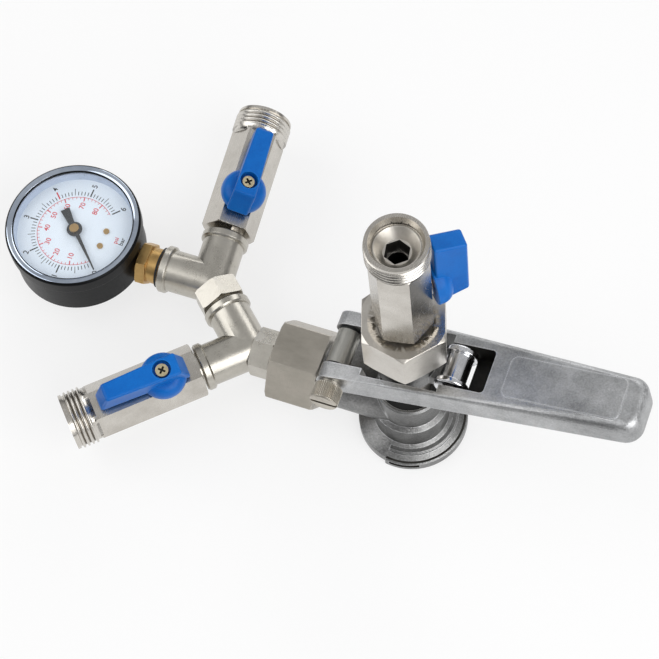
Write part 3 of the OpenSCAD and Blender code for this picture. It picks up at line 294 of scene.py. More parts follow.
def build_finishes(paint):
    """Makes the shader groups and every finish, colours written as they look on a screen."""
    GROUPS.update(grain=grain_group(), turned=turned_group(), marks=marks_group(), wear=wear_group())
    even = (1.0, 1.0, 1.0)

    # The edge tuple (radius, amount, colour) lightens edges: partly rubbed wear, partly a painted highlight.
    def make(key, name, dark, light, rough, grain, marks=(45.0, 0.4), wear=None, **more):
        if wear:
            more["wear"] = (*wear[:2], rgb(wear[2]))
        FINISH[key] = finish_material(name, rgb(dark), rgb(light), rough, grain, marks, **more)

    nickel_dark, nickel_light = (184, 179, 171), (215, 211, 204)
    make("casting", "bead_blasted_casting", (88, 88, 88), (162, 162, 161), (0.28, 0.44),
         (1300.0, even, 0.3), (60.0, 0.2), wear=(0.0006, 0.75, (222, 223, 224)), depth=0.5)
    make("lever", "satin_lever", (128, 129, 130), (208, 209, 210), (0.28, 0.42), (1500.0, even, 0.35),
         (35.0, 0.3), wear=(0.0009, 0.85, (238, 239, 241)), depth=0.4)
    for way in WAYS:
        middle, _ = joint_place(way + "_tap_turn")
        turned = (tuple(middle), tuple(outlet_axis(way)), 2600.0, 0.12)
        make(way + "_nickel", way + "_nickel_plating", nickel_dark, nickel_light, (0.19, 0.28),
             (900.0, even, 0.6), (55.0, 0.2), wear=(0.0003, 0.2, (245, 243, 238)), turned=turned,
             depth=0.02)
    make("fork", "fork_nickel_plating", (172, 168, 159), (202, 198, 189), (0.24, 0.34), (1400.0, even, 0.5),
         (40.0, 0.2), wear=(0.0003, 0.3, (245, 243, 238)), depth=0.08)
    make("nut", "turned_nut", nickel_dark, nickel_light, (0.26, 0.32), (900.0, even, 0.5), (50.0, 0.05),
         turned=((0, 0, 0), (0, 0, 1), 2200.0, 0.05), depth=0.004)
    make("retainer", "retainer_nickel", nickel_dark, nickel_light, (0.30, 0.36), (700.0, even, 0.5),
         (60.0, 0.05), depth=0.01)
    # Painted shade: a darker brown-grey laid in the thread roots, where shade falls between the crests.
    make("painted_thread_shade", "painted_shade_thread_root", (74, 68, 60), (120, 112, 102), (0.34, 0.44),
         (900.0, even, 0.5), (60.0, 0.1), depth=0.02)
    # Painted shade: near black for bores, sockets, slots, the lever's window and screw recesses, where shade
    # falls inside.
    make("painted_recess_shade", "painted_shade_in_recesses", (34, 33, 31), (62, 60, 56), (0.45, 0.6), (900.0, even, 0.5),
         (60.0, 0.2), metallic=0.6, depth=0.05)
    make("adaptor", "brushed_adaptor", (160, 155, 145), (190, 184, 174), (0.30, 0.40),
         (600.0, (0.5, 1.2, 1.2), 0.6), (45.0, 0.4), wear=(0.0005, 0.7, (222, 219, 213)), depth=0.06)
    make("pin", "pin_nickel", (160, 154, 143), (206, 200, 189), (0.26, 0.36), (1200.0, even, 0.4),
         (120.0, 0.2), wear=(0.00025, 0.6, (224, 220, 211)), depth=0.05)
    make("barrel", "dark_brushed_steel", (150, 149, 143), (190, 189, 183), (0.26, 0.38),
         (900.0, (2.0, 0.25, 2.0), 0.4), (70.0, 0.3), depth=0.08)
    make("roller", "polished_roller", (204, 205, 208), (238, 239, 242), (0.08, 0.17),
         (1500.0, (2.0, 0.3, 2.0), 0.3), (80.0, 0.3), wear=(0.0003, 0.7, (240, 240, 242)), depth=0.02)
    make("brass", "turned_brass", (168, 134, 84), (206, 172, 114), (0.28, 0.40), (800.0, even, 0.5),
         (60.0, 0.5), wear=(0.0004, 0.6, (220, 190, 136)), depth=0.06)
    make("screw", "bright_brass_screw", (206, 190, 148), (240, 228, 196), (0.22, 0.32), (900.0, even, 0.5),
         (80.0, 0.4), depth=0.04)
    make("plastic", "moulded_handle", paint.handle_dark, paint.handle_light, (0.30, 0.42),
         (1600.0, even, 0.4), (30.0, 0.15), wear=(0.0006, 0.3, (60, 150, 230)), metallic=0.0, depth=0.05,
         Specular_IOR_Level=0.22)
    make("seat", "white_seat_plastic", (214, 212, 206), (236, 234, 229), (0.35, 0.5), (900.0, even, 0.5),
         metallic=0.0)
    make("rubber", "black_rubber", (16, 17, 17), (34, 35, 35), (0.55, 0.75), (1400.0, even, 0.5),
         metallic=0.0, depth=0.12)
    make("case", "black_enamel", (4, 5, 7), (13, 15, 17), (0.30, 0.42), (1100.0, even, 0.5), (30.0, 0.2),
         wear=(0.0005, 0.3, (70, 74, 80)), metallic=0.0, depth=0.10, Specular_IOR_Level=0.14)
    # Painted reflection: the polished bezel's bluish colour stands in for the blue-white light it reflects.
    make("bezel", "polished_bezel", (160, 172, 190), (216, 226, 240), (0.05, 0.12), (300.0, even, 0.6),
         (50.0, 0.1), depth=0.01)
    make("dial", "printed_dial_face", (224, 236, 248), (233, 243, 253), (0.45, 0.6), (700.0, even, 0.6),
         (25.0, 0.0), metallic=0.0, depth=0.02)
    # Painted reflection: the spacer ring's pale blue-grey stands in for a bluish reflection on the gauge's
    # inner wall.
    make("spacer_painted_reflection", "spacer_ring", (176, 190, 212), (200, 212, 230), (0.25, 0.35), (500.0, even, 0.6),
         (30.0, 0.0), metallic=0.2, depth=0.01)
    make("black_print", "black_print", (22, 24, 28), (40, 42, 46), (0.5, 0.62), (3000.0, even, 0.4),
         metallic=0.0)
    make("red_print", "red_print", (200, 44, 58), (222, 70, 82), (0.5, 0.62), (3000.0, even, 0.4),
         metallic=0.0)
    make("needle", "black_needle", (16, 18, 20), (34, 36, 38), (0.34, 0.46), (1500.0, even, 0.4),
         metallic=0.0)
    make("lens", "clear_lens", (236, 243, 250), (248, 251, 255), (0.03, 0.07), (200.0, even, 0.5),
         (20.0, 0.02), metallic=0.0, depth=0.0, Alpha=0.035, Specular_IOR_Level=0.5)


# Making and placing pieces

def new_object(bm, name):
    """Turns a bmesh into an object of the scene, and frees it."""
    mesh = bpy.data.meshes.new(name)
    bm.to_mesh(mesh)
    bm.free()
    made = bpy.data.objects.new(name, mesh)
    bpy.context.scene.collection.objects.link(made)
    return made


def place_piece(bm, name, finish, body, replaces=(), smooth=38.0, areas=()):
    """Turns a finished bmesh into a piece that rides on a body, areas being (finish, face test) pairs."""
    bm.normal_update()
    for index, (_, inside) in enumerate(areas, 1):
        for face in bm.faces:
            if inside(face.calc_center_median(), face.normal):
                face.material_index = index
    piece = new_object(bm, name)
    mesh = piece.data
    for used in (finish, *(area[0] for area in areas)):
        mesh.materials.append(FINISH[used])
    mesh.shade_smooth()
    mesh.set_sharp_from_angle(angle=math.radians(smooth))
    even = piece.modifiers.new("even_shading", "WEIGHTED_NORMAL")
    even.weight = 100
    even.keep_sharp = True
    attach(piece, body)
    if replaces:
        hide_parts(*replaces)


def rounded_copy(name, width, pick=None, segments=2, limit=34.0):
    """A copy of a solid with its sharp edges rounded off, pick saying which edges by their midpoint."""
    bm = bmesh.new()
    bm.from_mesh(frame["nodes"][name].data)
    bmesh.ops.remove_doubles(bm, verts=bm.verts, dist=SOLID_WELD)
    bmesh.ops.recalc_face_normals(bm, faces=bm.faces)
    bmesh.ops.dissolve_limit(bm, angle_limit=FLAT_ANGLE, verts=bm.verts, edges=bm.edges)
    sharp = []
    for edge in bm.edges:
        if len(edge.link_faces) == 2 and edge.calc_face_angle(0.0) > math.radians(limit):
            middle = (edge.verts[0].co + edge.verts[1].co) / 2
            if pick is None or pick(middle):
                sharp.append(edge)
    bmesh.ops.bevel(bm, geom=sharp, offset=width, offset_type="OFFSET", affect="EDGES", segments=segments,
                    profile=0.5, material=-1, clamp_overlap=True)
    return bm


def turned_piece(profile, steps):
    """A solid of revolution about Z from (radius, height) points, that end on the axis or are joined."""
    bm = bmesh.new()
    points = [bm.verts.new((r, 0, z)) for r, z in profile]
    edges = [bm.edges.new(pair) for pair in zip(points, points[1:])]
    if profile[0][0] > 0:
        edges.append(bm.edges.new((points[-1], points[0])))
    bmesh.ops.spin(bm, geom=points + edges, cent=(0, 0, 0), axis=(0, 0, 1), angle=math.tau, steps=steps,
                   use_merge=True)
    bmesh.ops.remove_doubles(bm, verts=bm.verts, dist=WELD)
    bmesh.ops.recalc_face_normals(bm, faces=bm.faces)
    return bm


def rounded_profile(points, radius, steps):
    """Rounds the corners of a closed (radius, height) outline that stay off the axis."""
    out = []
    count = len(points)
    for i, (r, z) in enumerate(points):
        here = Vector((r, z))
        before, after = Vector(points[i - 1]), Vector(points[(i + 1) % count])
        if r <= 0:
            out.append((r, z))
            continue
        reach = min(radius, (before - here).length * 0.45, (after - here).length * 0.45)
        start = here + (before - here).normalized() * reach
        end = here + (after - here).normalized() * reach
        for k in range(steps + 1):
            t = k / steps
            out.append(tuple(start * (1 - t) ** 2 + here * 2 * t * (1 - t) + end * t * t))
    return out


def shape_boolean(base, tool, operation):
    """The union or difference of two bmeshes, as a new bmesh."""
    parts = [new_object(bm, "shape") for bm in (base, tool)]
    cut = parts[0].modifiers.new("cut", "BOOLEAN")
    cut.operation = operation
    cut.solver = "EXACT"
    cut.object = parts[1]
    bpy.context.view_layer.update()
    mesh = bpy.data.meshes.new_from_object(parts[0].evaluated_get(bpy.context.evaluated_depsgraph_get()))
    for obj in parts:
        old = obj.data
        bpy.data.objects.remove(obj)
        bpy.data.meshes.remove(old)
    bm = bmesh.new()
    bm.from_mesh(mesh)
    bpy.data.meshes.remove(mesh)
    bmesh.ops.remove_doubles(bm, verts=bm.verts, dist=WELD)
    return bm


def cylinder(radius, low, high, turn=Matrix(), segments=64):
    """A capped cylinder along Z between two heights, then turned into place."""
    bm = bmesh.new()
    bmesh.ops.create_cone(bm, cap_ends=True, segments=segments, radius1=radius, radius2=radius,
                          depth=high - low, matrix=turn @ Matrix.Translation((0, 0, (low + high) / 2)))
    return bm


def finish_node(name, finish):
    """Gives a carried-over solid its finish."""
    obj = frame["nodes"][name]
    for slot in obj.material_slots:
        slot.material = FINISH[finish]


# Settings

class CouplerFinishSettings(bpy.types.PropertyGroup):
    """Colours and edge radii of the finishes."""
    handle_dark: bpy.props.IntVectorProperty(
        name="Handle, dark", description="Darker blue of the handles", default=(2, 88, 172), min=0, max=255)
    handle_light: bpy.props.IntVectorProperty(
        name="Handle, light", description="Their lighter blue", default=(6, 110, 196), min=0, max=255)
    casting_edge: bpy.props.FloatProperty(
        name="Casting edge", description="Radius on the casting's edges", default=0.35 * MM, unit="LENGTH")
    machined_edge: bpy.props.FloatProperty(
        name="Machined edge", description="Radius on machined edges", default=0.22 * MM, unit="LENGTH")


class CouplerPinSettings(bpy.types.PropertyGroup):
    """Knurl of the hinge pin's head."""
    ridges: bpy.props.IntProperty(
        name="Ridges", description="Ridges round the pin's head", default=44, min=12, max=90)
    ridge_depth: bpy.props.FloatProperty(
        name="Ridge depth", description="Depth of the knurl", default=0.32 * MM, unit="LENGTH")


class CouplerHandleSettings(bpy.types.PropertyGroup):
    """Shape of the blue handles."""
    edge: bpy.props.FloatProperty(
        name="Edge", description="Radius on the finger's edges", default=1.0 * MM, unit="LENGTH")
    dome: bpy.props.FloatProperty(
        name="Dome", description="Height at which the skirt's dome ends", default=17.4 * MM, unit="LENGTH")


class CouplerDialSettings(bpy.types.PropertyGroup):
    """Print on the gauge's dial."""
    scale_radius: bpy.props.FloatProperty(
        name="Scale radius", description="Inner radius of the black ticks", default=16.1 * MM, unit="LENGTH")
    tick_width: bpy.props.FloatProperty(
        name="Tick width", description="Width of a long tick", default=0.55 * MM, unit="LENGTH")
    numeral: bpy.props.FloatProperty(
        name="Numeral height", description="Size of the numerals", default=3.2 * MM, unit="LENGTH")


# Operators

class COUPLER_OT_finishes(bpy.types.Operator):
    """Build the shader groups and finishes, and put them on the solids"""
    bl_idname = "coupler.finishes"
    bl_label = "Finishes"

    def execute(self, context):
        build_finishes(context.scene.coupler_finish)
        plain = {
            "base_seal": "rubber", "gland_seal": "rubber", "probe": "nut", "probe_tip_seal": "rubber",
            "check_ball": "seat", "ball_retainer": "seat", "hinge_washers": "rubber", "roller_pin": "barrel",
            "outlet_washer": "seat", "inlet_washer": "fork", "gas_check_valve": "rubber",
            "gauge_seal": "rubber", "gauge_lens": "lens", "gauge_dial": "dial", "dial_screws": "brass",
            "bourdon_tube": "brass", "movement_plate": "brass", "movement_sector": "brass",
            "movement_pinion": "brass", "needle_hub": "brass", "gauge_needle": "needle"}
        for way in WAYS:
            plain.update({way + "_valve_seats": "seat", way + "_valve_ball": "roller",
                          way + "_valve_stem": "brass"})
        for name, finish in plain.items():
            finish_node(name, finish)
        return {"FINISHED"}


class COUPLER_OT_casting(bpy.types.Operator):
    """Round the edges of the body's casting and of the yoke"""
    bl_idname = "coupler.casting"
    bl_label = "Body casting and yoke"

    def execute(self, context):
        edge = context.scene.coupler_finish.casting_edge
        bm = rounded_copy("coupler_body", edge)
        hinge, _ = joint_place("lever_pivot")

        def barrel(point, normal):
            return math.hypot(point.x - hinge.x, point.z - hinge.z) < BARREL_REACH

        # The keg socket and the lug slot get painted shade.
        def hollow(point, normal):
            away = math.hypot(point.x, point.y)
            facing = normal.dot(Vector((point.x, point.y, 0)).normalized()) if away > 0 else 0
            slot = SLOT_LOW < point.z < SLOT_TOP and away < SLOT_REACH and abs(facing) < 0.9
            return slot or (away < SOCKET_REACH and point.z < SOCKET_TOP)

        place_piece(bm, "body_casting", "casting", "base", ("coupler_body",),
                    areas=(("barrel", barrel), ("painted_recess_shade", hollow)))
        bm = rounded_copy("probe_yoke", edge)
        place_piece(bm, "yoke_with_shelf", "casting", "probe_column", ("probe_yoke",))
        return {"FINISHED"}


class COUPLER_OT_lever(bpy.types.Operator):
    """Round the operating lever's edges"""
    bl_idname = "coupler.lever"
    bl_label = "Operating lever"

    def execute(self, context):
        bm = rounded_copy("lever", 0.45 * MM, segments=3, limit=30.0)
        pivot, _ = joint_place("lever_pivot")
        level = Matrix.Rotation(LEVER_RISE, 3, "Y")

        # The lever's window gets painted shade, a dark floor where its pocket lies in shade.
        def window(point, normal):
            place = level @ (point - pivot)
            return WINDOW_FROM < place.x < WINDOW_TO and abs(point.y) < WINDOW_HALF and place.z < WINDOW_OVER

        place_piece(bm, "operating_lever", "lever", "lever_arm", ("lever",), smooth=32.0,
                    areas=(("painted_recess_shade", window),))
        return {"FINISHED"}


class COUPLER_OT_pin(bpy.types.Operator):
    """Knurled and slotted hinge pin"""
    bl_idname = "coupler.pin"
    bl_label = "Hinge pin"

    def execute(self, context):
        knurl = context.scene.coupler_pin
        low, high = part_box("hinge_pin")
        pivot, _ = joint_place("lever_pivot")
        head_r = (high[2] - low[2]) / 2
        out, tail = pivot.y - low[1], high[1] - pivot.y
        head_length, knurl_back, knurl_front = 7.2 * MM, 0.7 * MM, 0.9 * MM
        slot_width, slot_height = 1.6 * MM, 3.4 * MM
        shank_r, neck_r = 2.5 * MM, 4.2 * MM
        root = out - head_length
        bm = bmesh.new()
        bmesh.ops.create_circle(bm, cap_ends=False, segments=knurl.ridges * 4, radius=head_r)
        for i, vert in enumerate(list(bm.verts)):
            if i % 4 in (0, 3):
                vert.co *= 1 - knurl.ridge_depth / head_r
            vert.co.z = root + knurl_back
        made = bmesh.ops.extrude_edge_only(bm, edges=list(bm.edges))["geom"]
        for vert in (g for g in made if isinstance(g, bmesh.types.BMVert)):
            vert.co.z = out - knurl_front
        rim = [g for g in made if isinstance(g, bmesh.types.BMEdge)]
        middle = (root + out) / 2
        lower = [e for e in bm.edges if e.is_boundary and e.verts[0].co.z < middle]
        front_steps = ((0.985, out - 0.5 * MM), (0.93, out - 0.12 * MM), (0.88, out))
        back_steps = ((0.97, root + 0.3 * MM), (0.90, root))
        for edges, steps in ((rim, front_steps), (lower, back_steps)):
            for share, height in steps:
                made = bmesh.ops.extrude_edge_only(bm, edges=edges)["geom"]
                for vert in (g for g in made if isinstance(g, bmesh.types.BMVert)):
                    flat = Vector((vert.co.x, vert.co.y)).normalized() * head_r * share
                    vert.co = (flat.x, flat.y, height)
                edges = [g for g in made if isinstance(g, bmesh.types.BMEdge)]
            bmesh.ops.contextual_create(bm, geom=edges)
        bmesh.ops.recalc_face_normals(bm, faces=bm.faces)
        slot = bmesh.new()
        bmesh.ops.create_cube(slot, size=1.0, matrix=Matrix.Translation((0, 0, out - 0.4 * MM))
                              @ Matrix.Diagonal((head_r * 2.4, slot_width, slot_height, 1)))
        bm = shape_boolean(bm, slot, "DIFFERENCE")
        shank = cylinder(shank_r, -tail, root + 0.2 * MM, segments=48)
        neck = cylinder(neck_r, root - 1.1 * MM, root + 0.3 * MM)
        bm = shape_boolean(shape_boolean(bm, neck, "UNION"), shank, "UNION")
        bmesh.ops.transform(bm, matrix=Matrix.Translation(pivot) @ Matrix.Rotation(math.radians(90), 4, "X"),
                            verts=bm.verts)
        bmesh.ops.recalc_face_normals(bm, faces=bm.faces)
        place_piece(bm, "knurled_pin", "pin", "lever_arm", ("hinge_pin",), smooth=28.0)
        return {"FINISHED"}


class COUPLER_OT_roller(bpy.types.Operator):
    """Rounded copy of the flanged roller"""
    bl_idname = "coupler.roller"
    bl_label = "Roller"

    def execute(self, context):
        bm = rounded_copy("lift_roller", 0.3 * MM, segments=3)
        place_piece(bm, "flanged_roller", "roller", "roller", ("lift_roller",))
        return {"FINISHED"}


class COUPLER_OT_nuts(bpy.types.Operator):
    """Round the edges of the outlet nut and of the inlet adaptor"""
    bl_idname = "coupler.nuts"
    bl_label = "Nut and adaptor"

    def execute(self, context):
        edge = context.scene.coupler_finish.machined_edge

        def outside(point):
            return math.hypot(point.x, point.y) > NUT_DISH_REACH

        bm = rounded_copy("outlet_nut", edge, pick=outside)
        place_piece(bm, "outlet_hexagon_nut", "nut", "probe_column", ("outlet_nut",), smooth=18.0)
        bm = rounded_copy("inlet_adaptor", edge)
        place_piece(bm, "inlet_hexagon_adaptor", "adaptor", "base", ("inlet_adaptor",),
                    smooth=18.0)
        return {"FINISHED"}


class COUPLER_OT_valves(bpy.types.Operator):
    """Round the hexagons, seat retainers and screws of the three ball valves, clear of the threads"""
    bl_idname = "coupler.valves"
    bl_label = "Valve bodies"

    def execute(self, context):
        edge = context.scene.coupler_finish.machined_edge
        for way in WAYS:
            outlet = MOUNTS[way + "_outlet"]
            centre, axis = Vector(outlet["pos_m"]), outlet_axis(way)
            half_thread = outlet["dims"]["length_mm"] * MM / 2

            def clear(point):
                along, away = from_axis(point, centre, axis)
                return along < -half_thread - 0.9 * MM and away > HEX_CORNER_REACH

            # Thread roots, which get painted shade.
            def groove(point, normal):
                along, away = from_axis(point, centre, axis)
                outward = abs(normal.dot(axis)) < 0.5
                return abs(along) < half_thread - 0.3 * MM and GROOVE_NEAR < away < GROOVE_FAR and outward

            bm = rounded_copy(way + "_valve_body", edge, pick=clear)
            body = BODY_OF[way + "_valve_body"]
            place_piece(bm, way + "_valve_housing", way + "_nickel", body, (way + "_valve_body",),
                        areas=(("painted_thread_shade", groove),))

            # The hex key socket gets painted shade.
            def key_socket(point, normal):
                return from_axis(point, centre, axis)[1] < KEY_SOCKET_REACH and normal.dot(axis) < 0.5

            bm = rounded_copy(way + "_valve_retainer", 0.06 * MM)
            place_piece(bm, way + "_seat_retainer", "retainer", body, (way + "_valve_retainer",),
                        areas=(("painted_recess_shade", key_socket),))

            turn = valve_frame(way).inverted()
            top = max((turn @ vert.co).x for vert in frame["nodes"][way + "_valve_screw"].data.vertices)

            # The screw's cross recess gets painted shade.
            def recess(point, normal):
                depth = top - (turn @ point).x
                floor = depth > 0.9 * MM and (turn.to_3x3() @ normal).x > 0.5
                return floor or 0.05 * MM < depth < 0.95 * MM

            bm = rounded_copy(way + "_valve_screw", 0.12 * MM)
            place_piece(bm, way + "_cross_screw", "screw", BODY_OF[way + "_valve_screw"],
                        (way + "_valve_screw",), areas=(("painted_recess_shade", recess),))
        return {"FINISHED"}


class COUPLER_OT_forks(bpy.types.Operator):
    """Round the edges of the two forked fittings"""
    bl_idname = "coupler.forks"
    bl_label = "Forked fittings"

    def execute(self, context):
        edge = context.scene.coupler_finish.machined_edge
        for name in ("fork_lower", "fork_upper"):
            piece = name.replace("fork", "forked_fitting")
            place_piece(rounded_copy(name, edge), piece, "fork", "base", (name,))
        return {"FINISHED"}


class COUPLER_OT_handles(bpy.types.Operator):
    """Moulded blue handles: a tapered finger grown into a domed skirt, with a counterbore for its screw"""
    bl_idname = "coupler.handles"
    bl_label = "Handles"

    def finger(self, edge):
        """The tapered bar of a handle, along X over its stem."""
        bm = bmesh.new()
        bmesh.ops.create_cube(bm, size=1.0)
        low_x, high_x = 11.76 * MM, 23.8 * MM
        tip_half, root_half = 3.6 * MM, 4.5 * MM
        tip_ends, back_ends = (23.6 * MM, 27.0 * MM), (-6.4 * MM, -9.8 * MM)
        for vert in bm.verts:
            top, tip = vert.co.x > 0, vert.co.z > 0
            side = 1 if vert.co.y > 0 else -1
            vert.co.y = side * (tip_half if tip else root_half)
            vert.co.z = (tip_ends if tip else back_ends)[0 if top else 1]
            vert.co.x = high_x if top else low_x
        bmesh.ops.bevel(bm, geom=list(bm.edges), offset=edge, offset_type="OFFSET", affect="EDGES",
                        segments=5, profile=0.5, material=-1, clamp_overlap=True)
        return bm

    def skirt(self, dome):
        """The domed round foot of a handle."""
        rim, base, wall, waist = 9.0 * MM, 11.0 * MM, 1.6 * MM, 4.2 * MM
        outline = [(0, base), (rim - 0.3 * MM, base), (rim, base + 0.3 * MM), (rim, base + wall)]
        for k in range(1, 9):
            turn = k / 8 * math.pi / 2
            height = base + wall + (dome - base - wall) * math.sin(turn)
            outline.append((rim - waist * (1 - math.cos(turn)), height))
        outline.append((0, dome))
        return turned_piece(outline, 72)

    def execute(self, context):
        look = context.scene.coupler_handle
        skirt = self.skirt(look.dome)
        bmesh.ops.transform(skirt, matrix=ALONG_X, verts=skirt.verts)
        bmesh.ops.recalc_face_normals(skirt, faces=skirt.faces)
        whole = shape_boolean(self.finger(look.edge), skirt, "UNION")
        screw_head, stem, screw = (3.6, 20.4, 25.0, 64), (3.0, 10.0, 19.1, 64), (1.5, 18.0, 21.0, 32)
        for radius, low, high, segments in (screw_head, stem, screw):
            bore = cylinder(radius * MM, low * MM, high * MM, ALONG_X, segments)
            whole = shape_boolean(whole, bore, "DIFFERENCE")
        master = bpy.data.meshes.new("handle_master")
        whole.to_mesh(master)
        whole.free()
        for way in WAYS:
            bm = bmesh.new()
            bm.from_mesh(master)
            bmesh.ops.transform(bm, matrix=valve_frame(way), verts=bm.verts)
            bmesh.ops.recalc_face_normals(bm, faces=bm.faces)
            place_piece(bm, way + "_moulded_handle", "plastic", way + "_tap",
                        (way + "_valve_handle",), smooth=42.0)
        bpy.data.meshes.remove(master)
        return {"FINISHED"}


class COUPLER_OT_gauge(bpy.types.Operator):
    """Gauge: rolled bezel, rounded cup, spacer ring and stem"""
    bl_idname = "coupler.gauge"
    bl_label = "Gauge"

    def execute(self, context):
        centre, _ = joint_place("needle_turn")
        low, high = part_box("gauge_bezel")
        outer = (high[0] - low[0]) / 2
        top, bottom = high[2], low[2]
        place = Matrix.Translation((centre.x, centre.y, 0))
        lens_low, lens_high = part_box("gauge_lens")
        case_low, case_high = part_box("gauge_case")
        play = 0.05 * MM
        lens_r = (lens_high[0] - lens_low[0]) / 2 + play
        case_r = (case_high[0] - case_low[0]) / 2 + play
        inner = 23.8 * MM
        outline = [(case_r, bottom), (outer, bottom), (outer, top - 0.8 * MM), (outer - 0.9 * MM, top),
                   (inner + 0.9 * MM, top - 0.12 * MM), (inner, top - 0.75 * MM),
                   (inner, lens_high[2] + play), (lens_r, lens_high[2] + play),
                   (lens_r, case_high[2] + 2 * play), (case_r, case_high[2] + 2 * play)]
        bm = turned_piece(rounded_profile(outline, 0.95 * MM, 5), 160)
        bmesh.ops.transform(bm, matrix=place, verts=bm.verts)

        def side(point, normal):
            out = Vector((point.x - centre.x, point.y - centre.y, 0))
            beyond = out.length > outer - 0.85 * MM or out.length < inner + 0.35 * MM
            return beyond or normal.z < -0.5 or normal.dot(out.normalized()) > 0.7

        place_piece(bm, "rolled_bezel", "bezel", "base", ("gauge_bezel",), smooth=50.0,
                    areas=(("case", side),))
        bm = rounded_copy("gauge_case", 0.3 * MM)
        place_piece(bm, "gauge_cup", "case", "base", ("gauge_case",))
        # The spacer ring's pale blue-grey is a painted reflection on the inner wall of the gauge.
        ring_low, ring_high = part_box("gauge_dial")[1][2] + play, lens_low[2] - 2 * play
        foot_r, lip_r, back_r = 23.3 * MM, 24.3 * MM, 24.9 * MM
        wall = [(foot_r, ring_low), (back_r, ring_low), (back_r, ring_high), (lip_r, ring_high)]
        bm = turned_piece(rounded_profile(wall, 0.2 * MM, 3), 160)
        bmesh.ops.transform(bm, matrix=place, verts=bm.verts)
        place_piece(bm, "spacer_ring", "spacer_painted_reflection", "base")
        bm = rounded_copy("gauge_stem", 0.2 * MM)
        place_piece(bm, "brass_gauge_stem", "brass", "base", ("gauge_stem",))
        return {"FINISHED"}


class COUPLER_OT_dial_print(bpy.types.Operator):
    """Scales of the dial: black outer ticks and numerals, red inner arc, ticks and numerals"""
    bl_idname = "coupler.dial_print"
    bl_label = "Dial print"

    def tick(self, bm, angle, start, length, width):
        """A flat radial mark."""
        spot = Matrix.Rotation(angle, 4, "Z") @ Matrix.Translation((start + length / 2, 0, 0))
        bmesh.ops.create_grid(bm, x_segments=1, y_segments=1, size=0.5,
                              matrix=spot @ Matrix.Diagonal((length, width, 1, 1)))

    def arc(self, bm, start, end, radius, width):
        """A flat ring segment between two angles."""
        inside = bm.verts.new((radius * math.cos(start), radius * math.sin(start), 0))
        outside = bm.verts.new(((radius + width) * math.cos(start), (radius + width) * math.sin(start), 0))
        edge = bm.edges.new((inside, outside))
        bmesh.ops.spin(bm, geom=[inside, outside, edge], cent=(0, 0, 0), axis=(0, 0, 1), angle=end - start,
                       steps=96)

    def word(self, bm, text, angle, radius, size):
        """Flat letters or numerals, read from the dial's foot."""
        curve = bpy.data.curves.new("numeral", "FONT")
        curve.body = text
        curve.size = size
        curve.align_x = "CENTER"
        curve.align_y = "CENTER"
        curve.offset = size * 0.012
        obj = bpy.data.objects.new("numeral", curve)
        bpy.context.scene.collection.objects.link(obj)
        bpy.context.view_layer.update()
        mesh = bpy.data.meshes.new_from_object(obj.evaluated_get(bpy.context.evaluated_depsgraph_get()))
        mesh.transform(Matrix.Translation((radius * math.cos(angle), radius * math.sin(angle), 0))
                       @ Matrix.Rotation(math.radians(90), 4, "Z"))
        bm.from_mesh(mesh)
        bpy.data.objects.remove(obj)
        bpy.data.curves.remove(curve)
        bpy.data.meshes.remove(mesh)

    def lay(self, bm, name, finish, slot):
        """Lays a print just over the dial, facing up."""
        centre, _ = joint_place("needle_turn")
        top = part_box("gauge_dial")[1][2] + 0.03 * MM
        bmesh.ops.transform(bm, matrix=Matrix.Translation((centre.x, centre.y, top)), verts=bm.verts)
        for face in bm.faces:
            if face.normal.z < 0:
                face.normal_flip()
        place_piece(bm, name, finish, "base")

    def execute(self, context):
        look = context.scene.coupler_dial
        start = math.radians(-45)
        unit = math.radians(45)
        inner, width = look.scale_radius, look.tick_width
        black, red = bmesh.new(), bmesh.new()
        long_tick, half_tick, short_tick = 3.5 * MM, 3.0 * MM, 1.7 * MM
        red_step = 40
        for step in range(61):
            angle = start - unit * step / 10
            if step % 10 == 0:
                self.tick(red if step == red_step else black, angle, inner, long_tick, width)
            elif step % 5 == 0:
                self.tick(black, angle, inner, half_tick, width * 0.45)
            else:
                self.tick(black, angle, inner, short_tick, width * 0.55)
        for value in range(7):
            self.word(black, str(value), start - unit * value, inner + 4.95 * MM, look.numeral)
        ring = inner - 0.95 * MM
        full_scale = 87.0
        psi = math.radians(270) / full_scale
        self.arc(red, start, start - psi * full_scale, ring, 0.22 * MM)
        for step in range(44):
            angle = start - psi * 2 * step
            if step % 5 == 0:
                self.tick(red, angle, ring - 1.7 * MM, 1.8 * MM, width * 0.8)
            else:
                self.tick(red, angle, ring - 0.8 * MM, 0.9 * MM, width * 0.4)
        for value in range(10, 90, 10):
            self.word(red, str(value), start - psi * value, ring - 3.7 * MM, look.numeral * 0.92)
        for bm, unit_name, reach in ((red, "psi", 17.4 * MM), (black, "bar", 19.9 * MM)):
            self.word(bm, unit_name, math.radians(3), reach, look.numeral * 0.8)
        for bm in (black, red):
            bmesh.ops.recalc_face_normals(bm, faces=bm.faces)
        self.lay(black, "black_scale", "black_print", "needle_black")
        self.lay(red, "red_scale", "red_print", "dial_face")
        return {"FINISHED"}


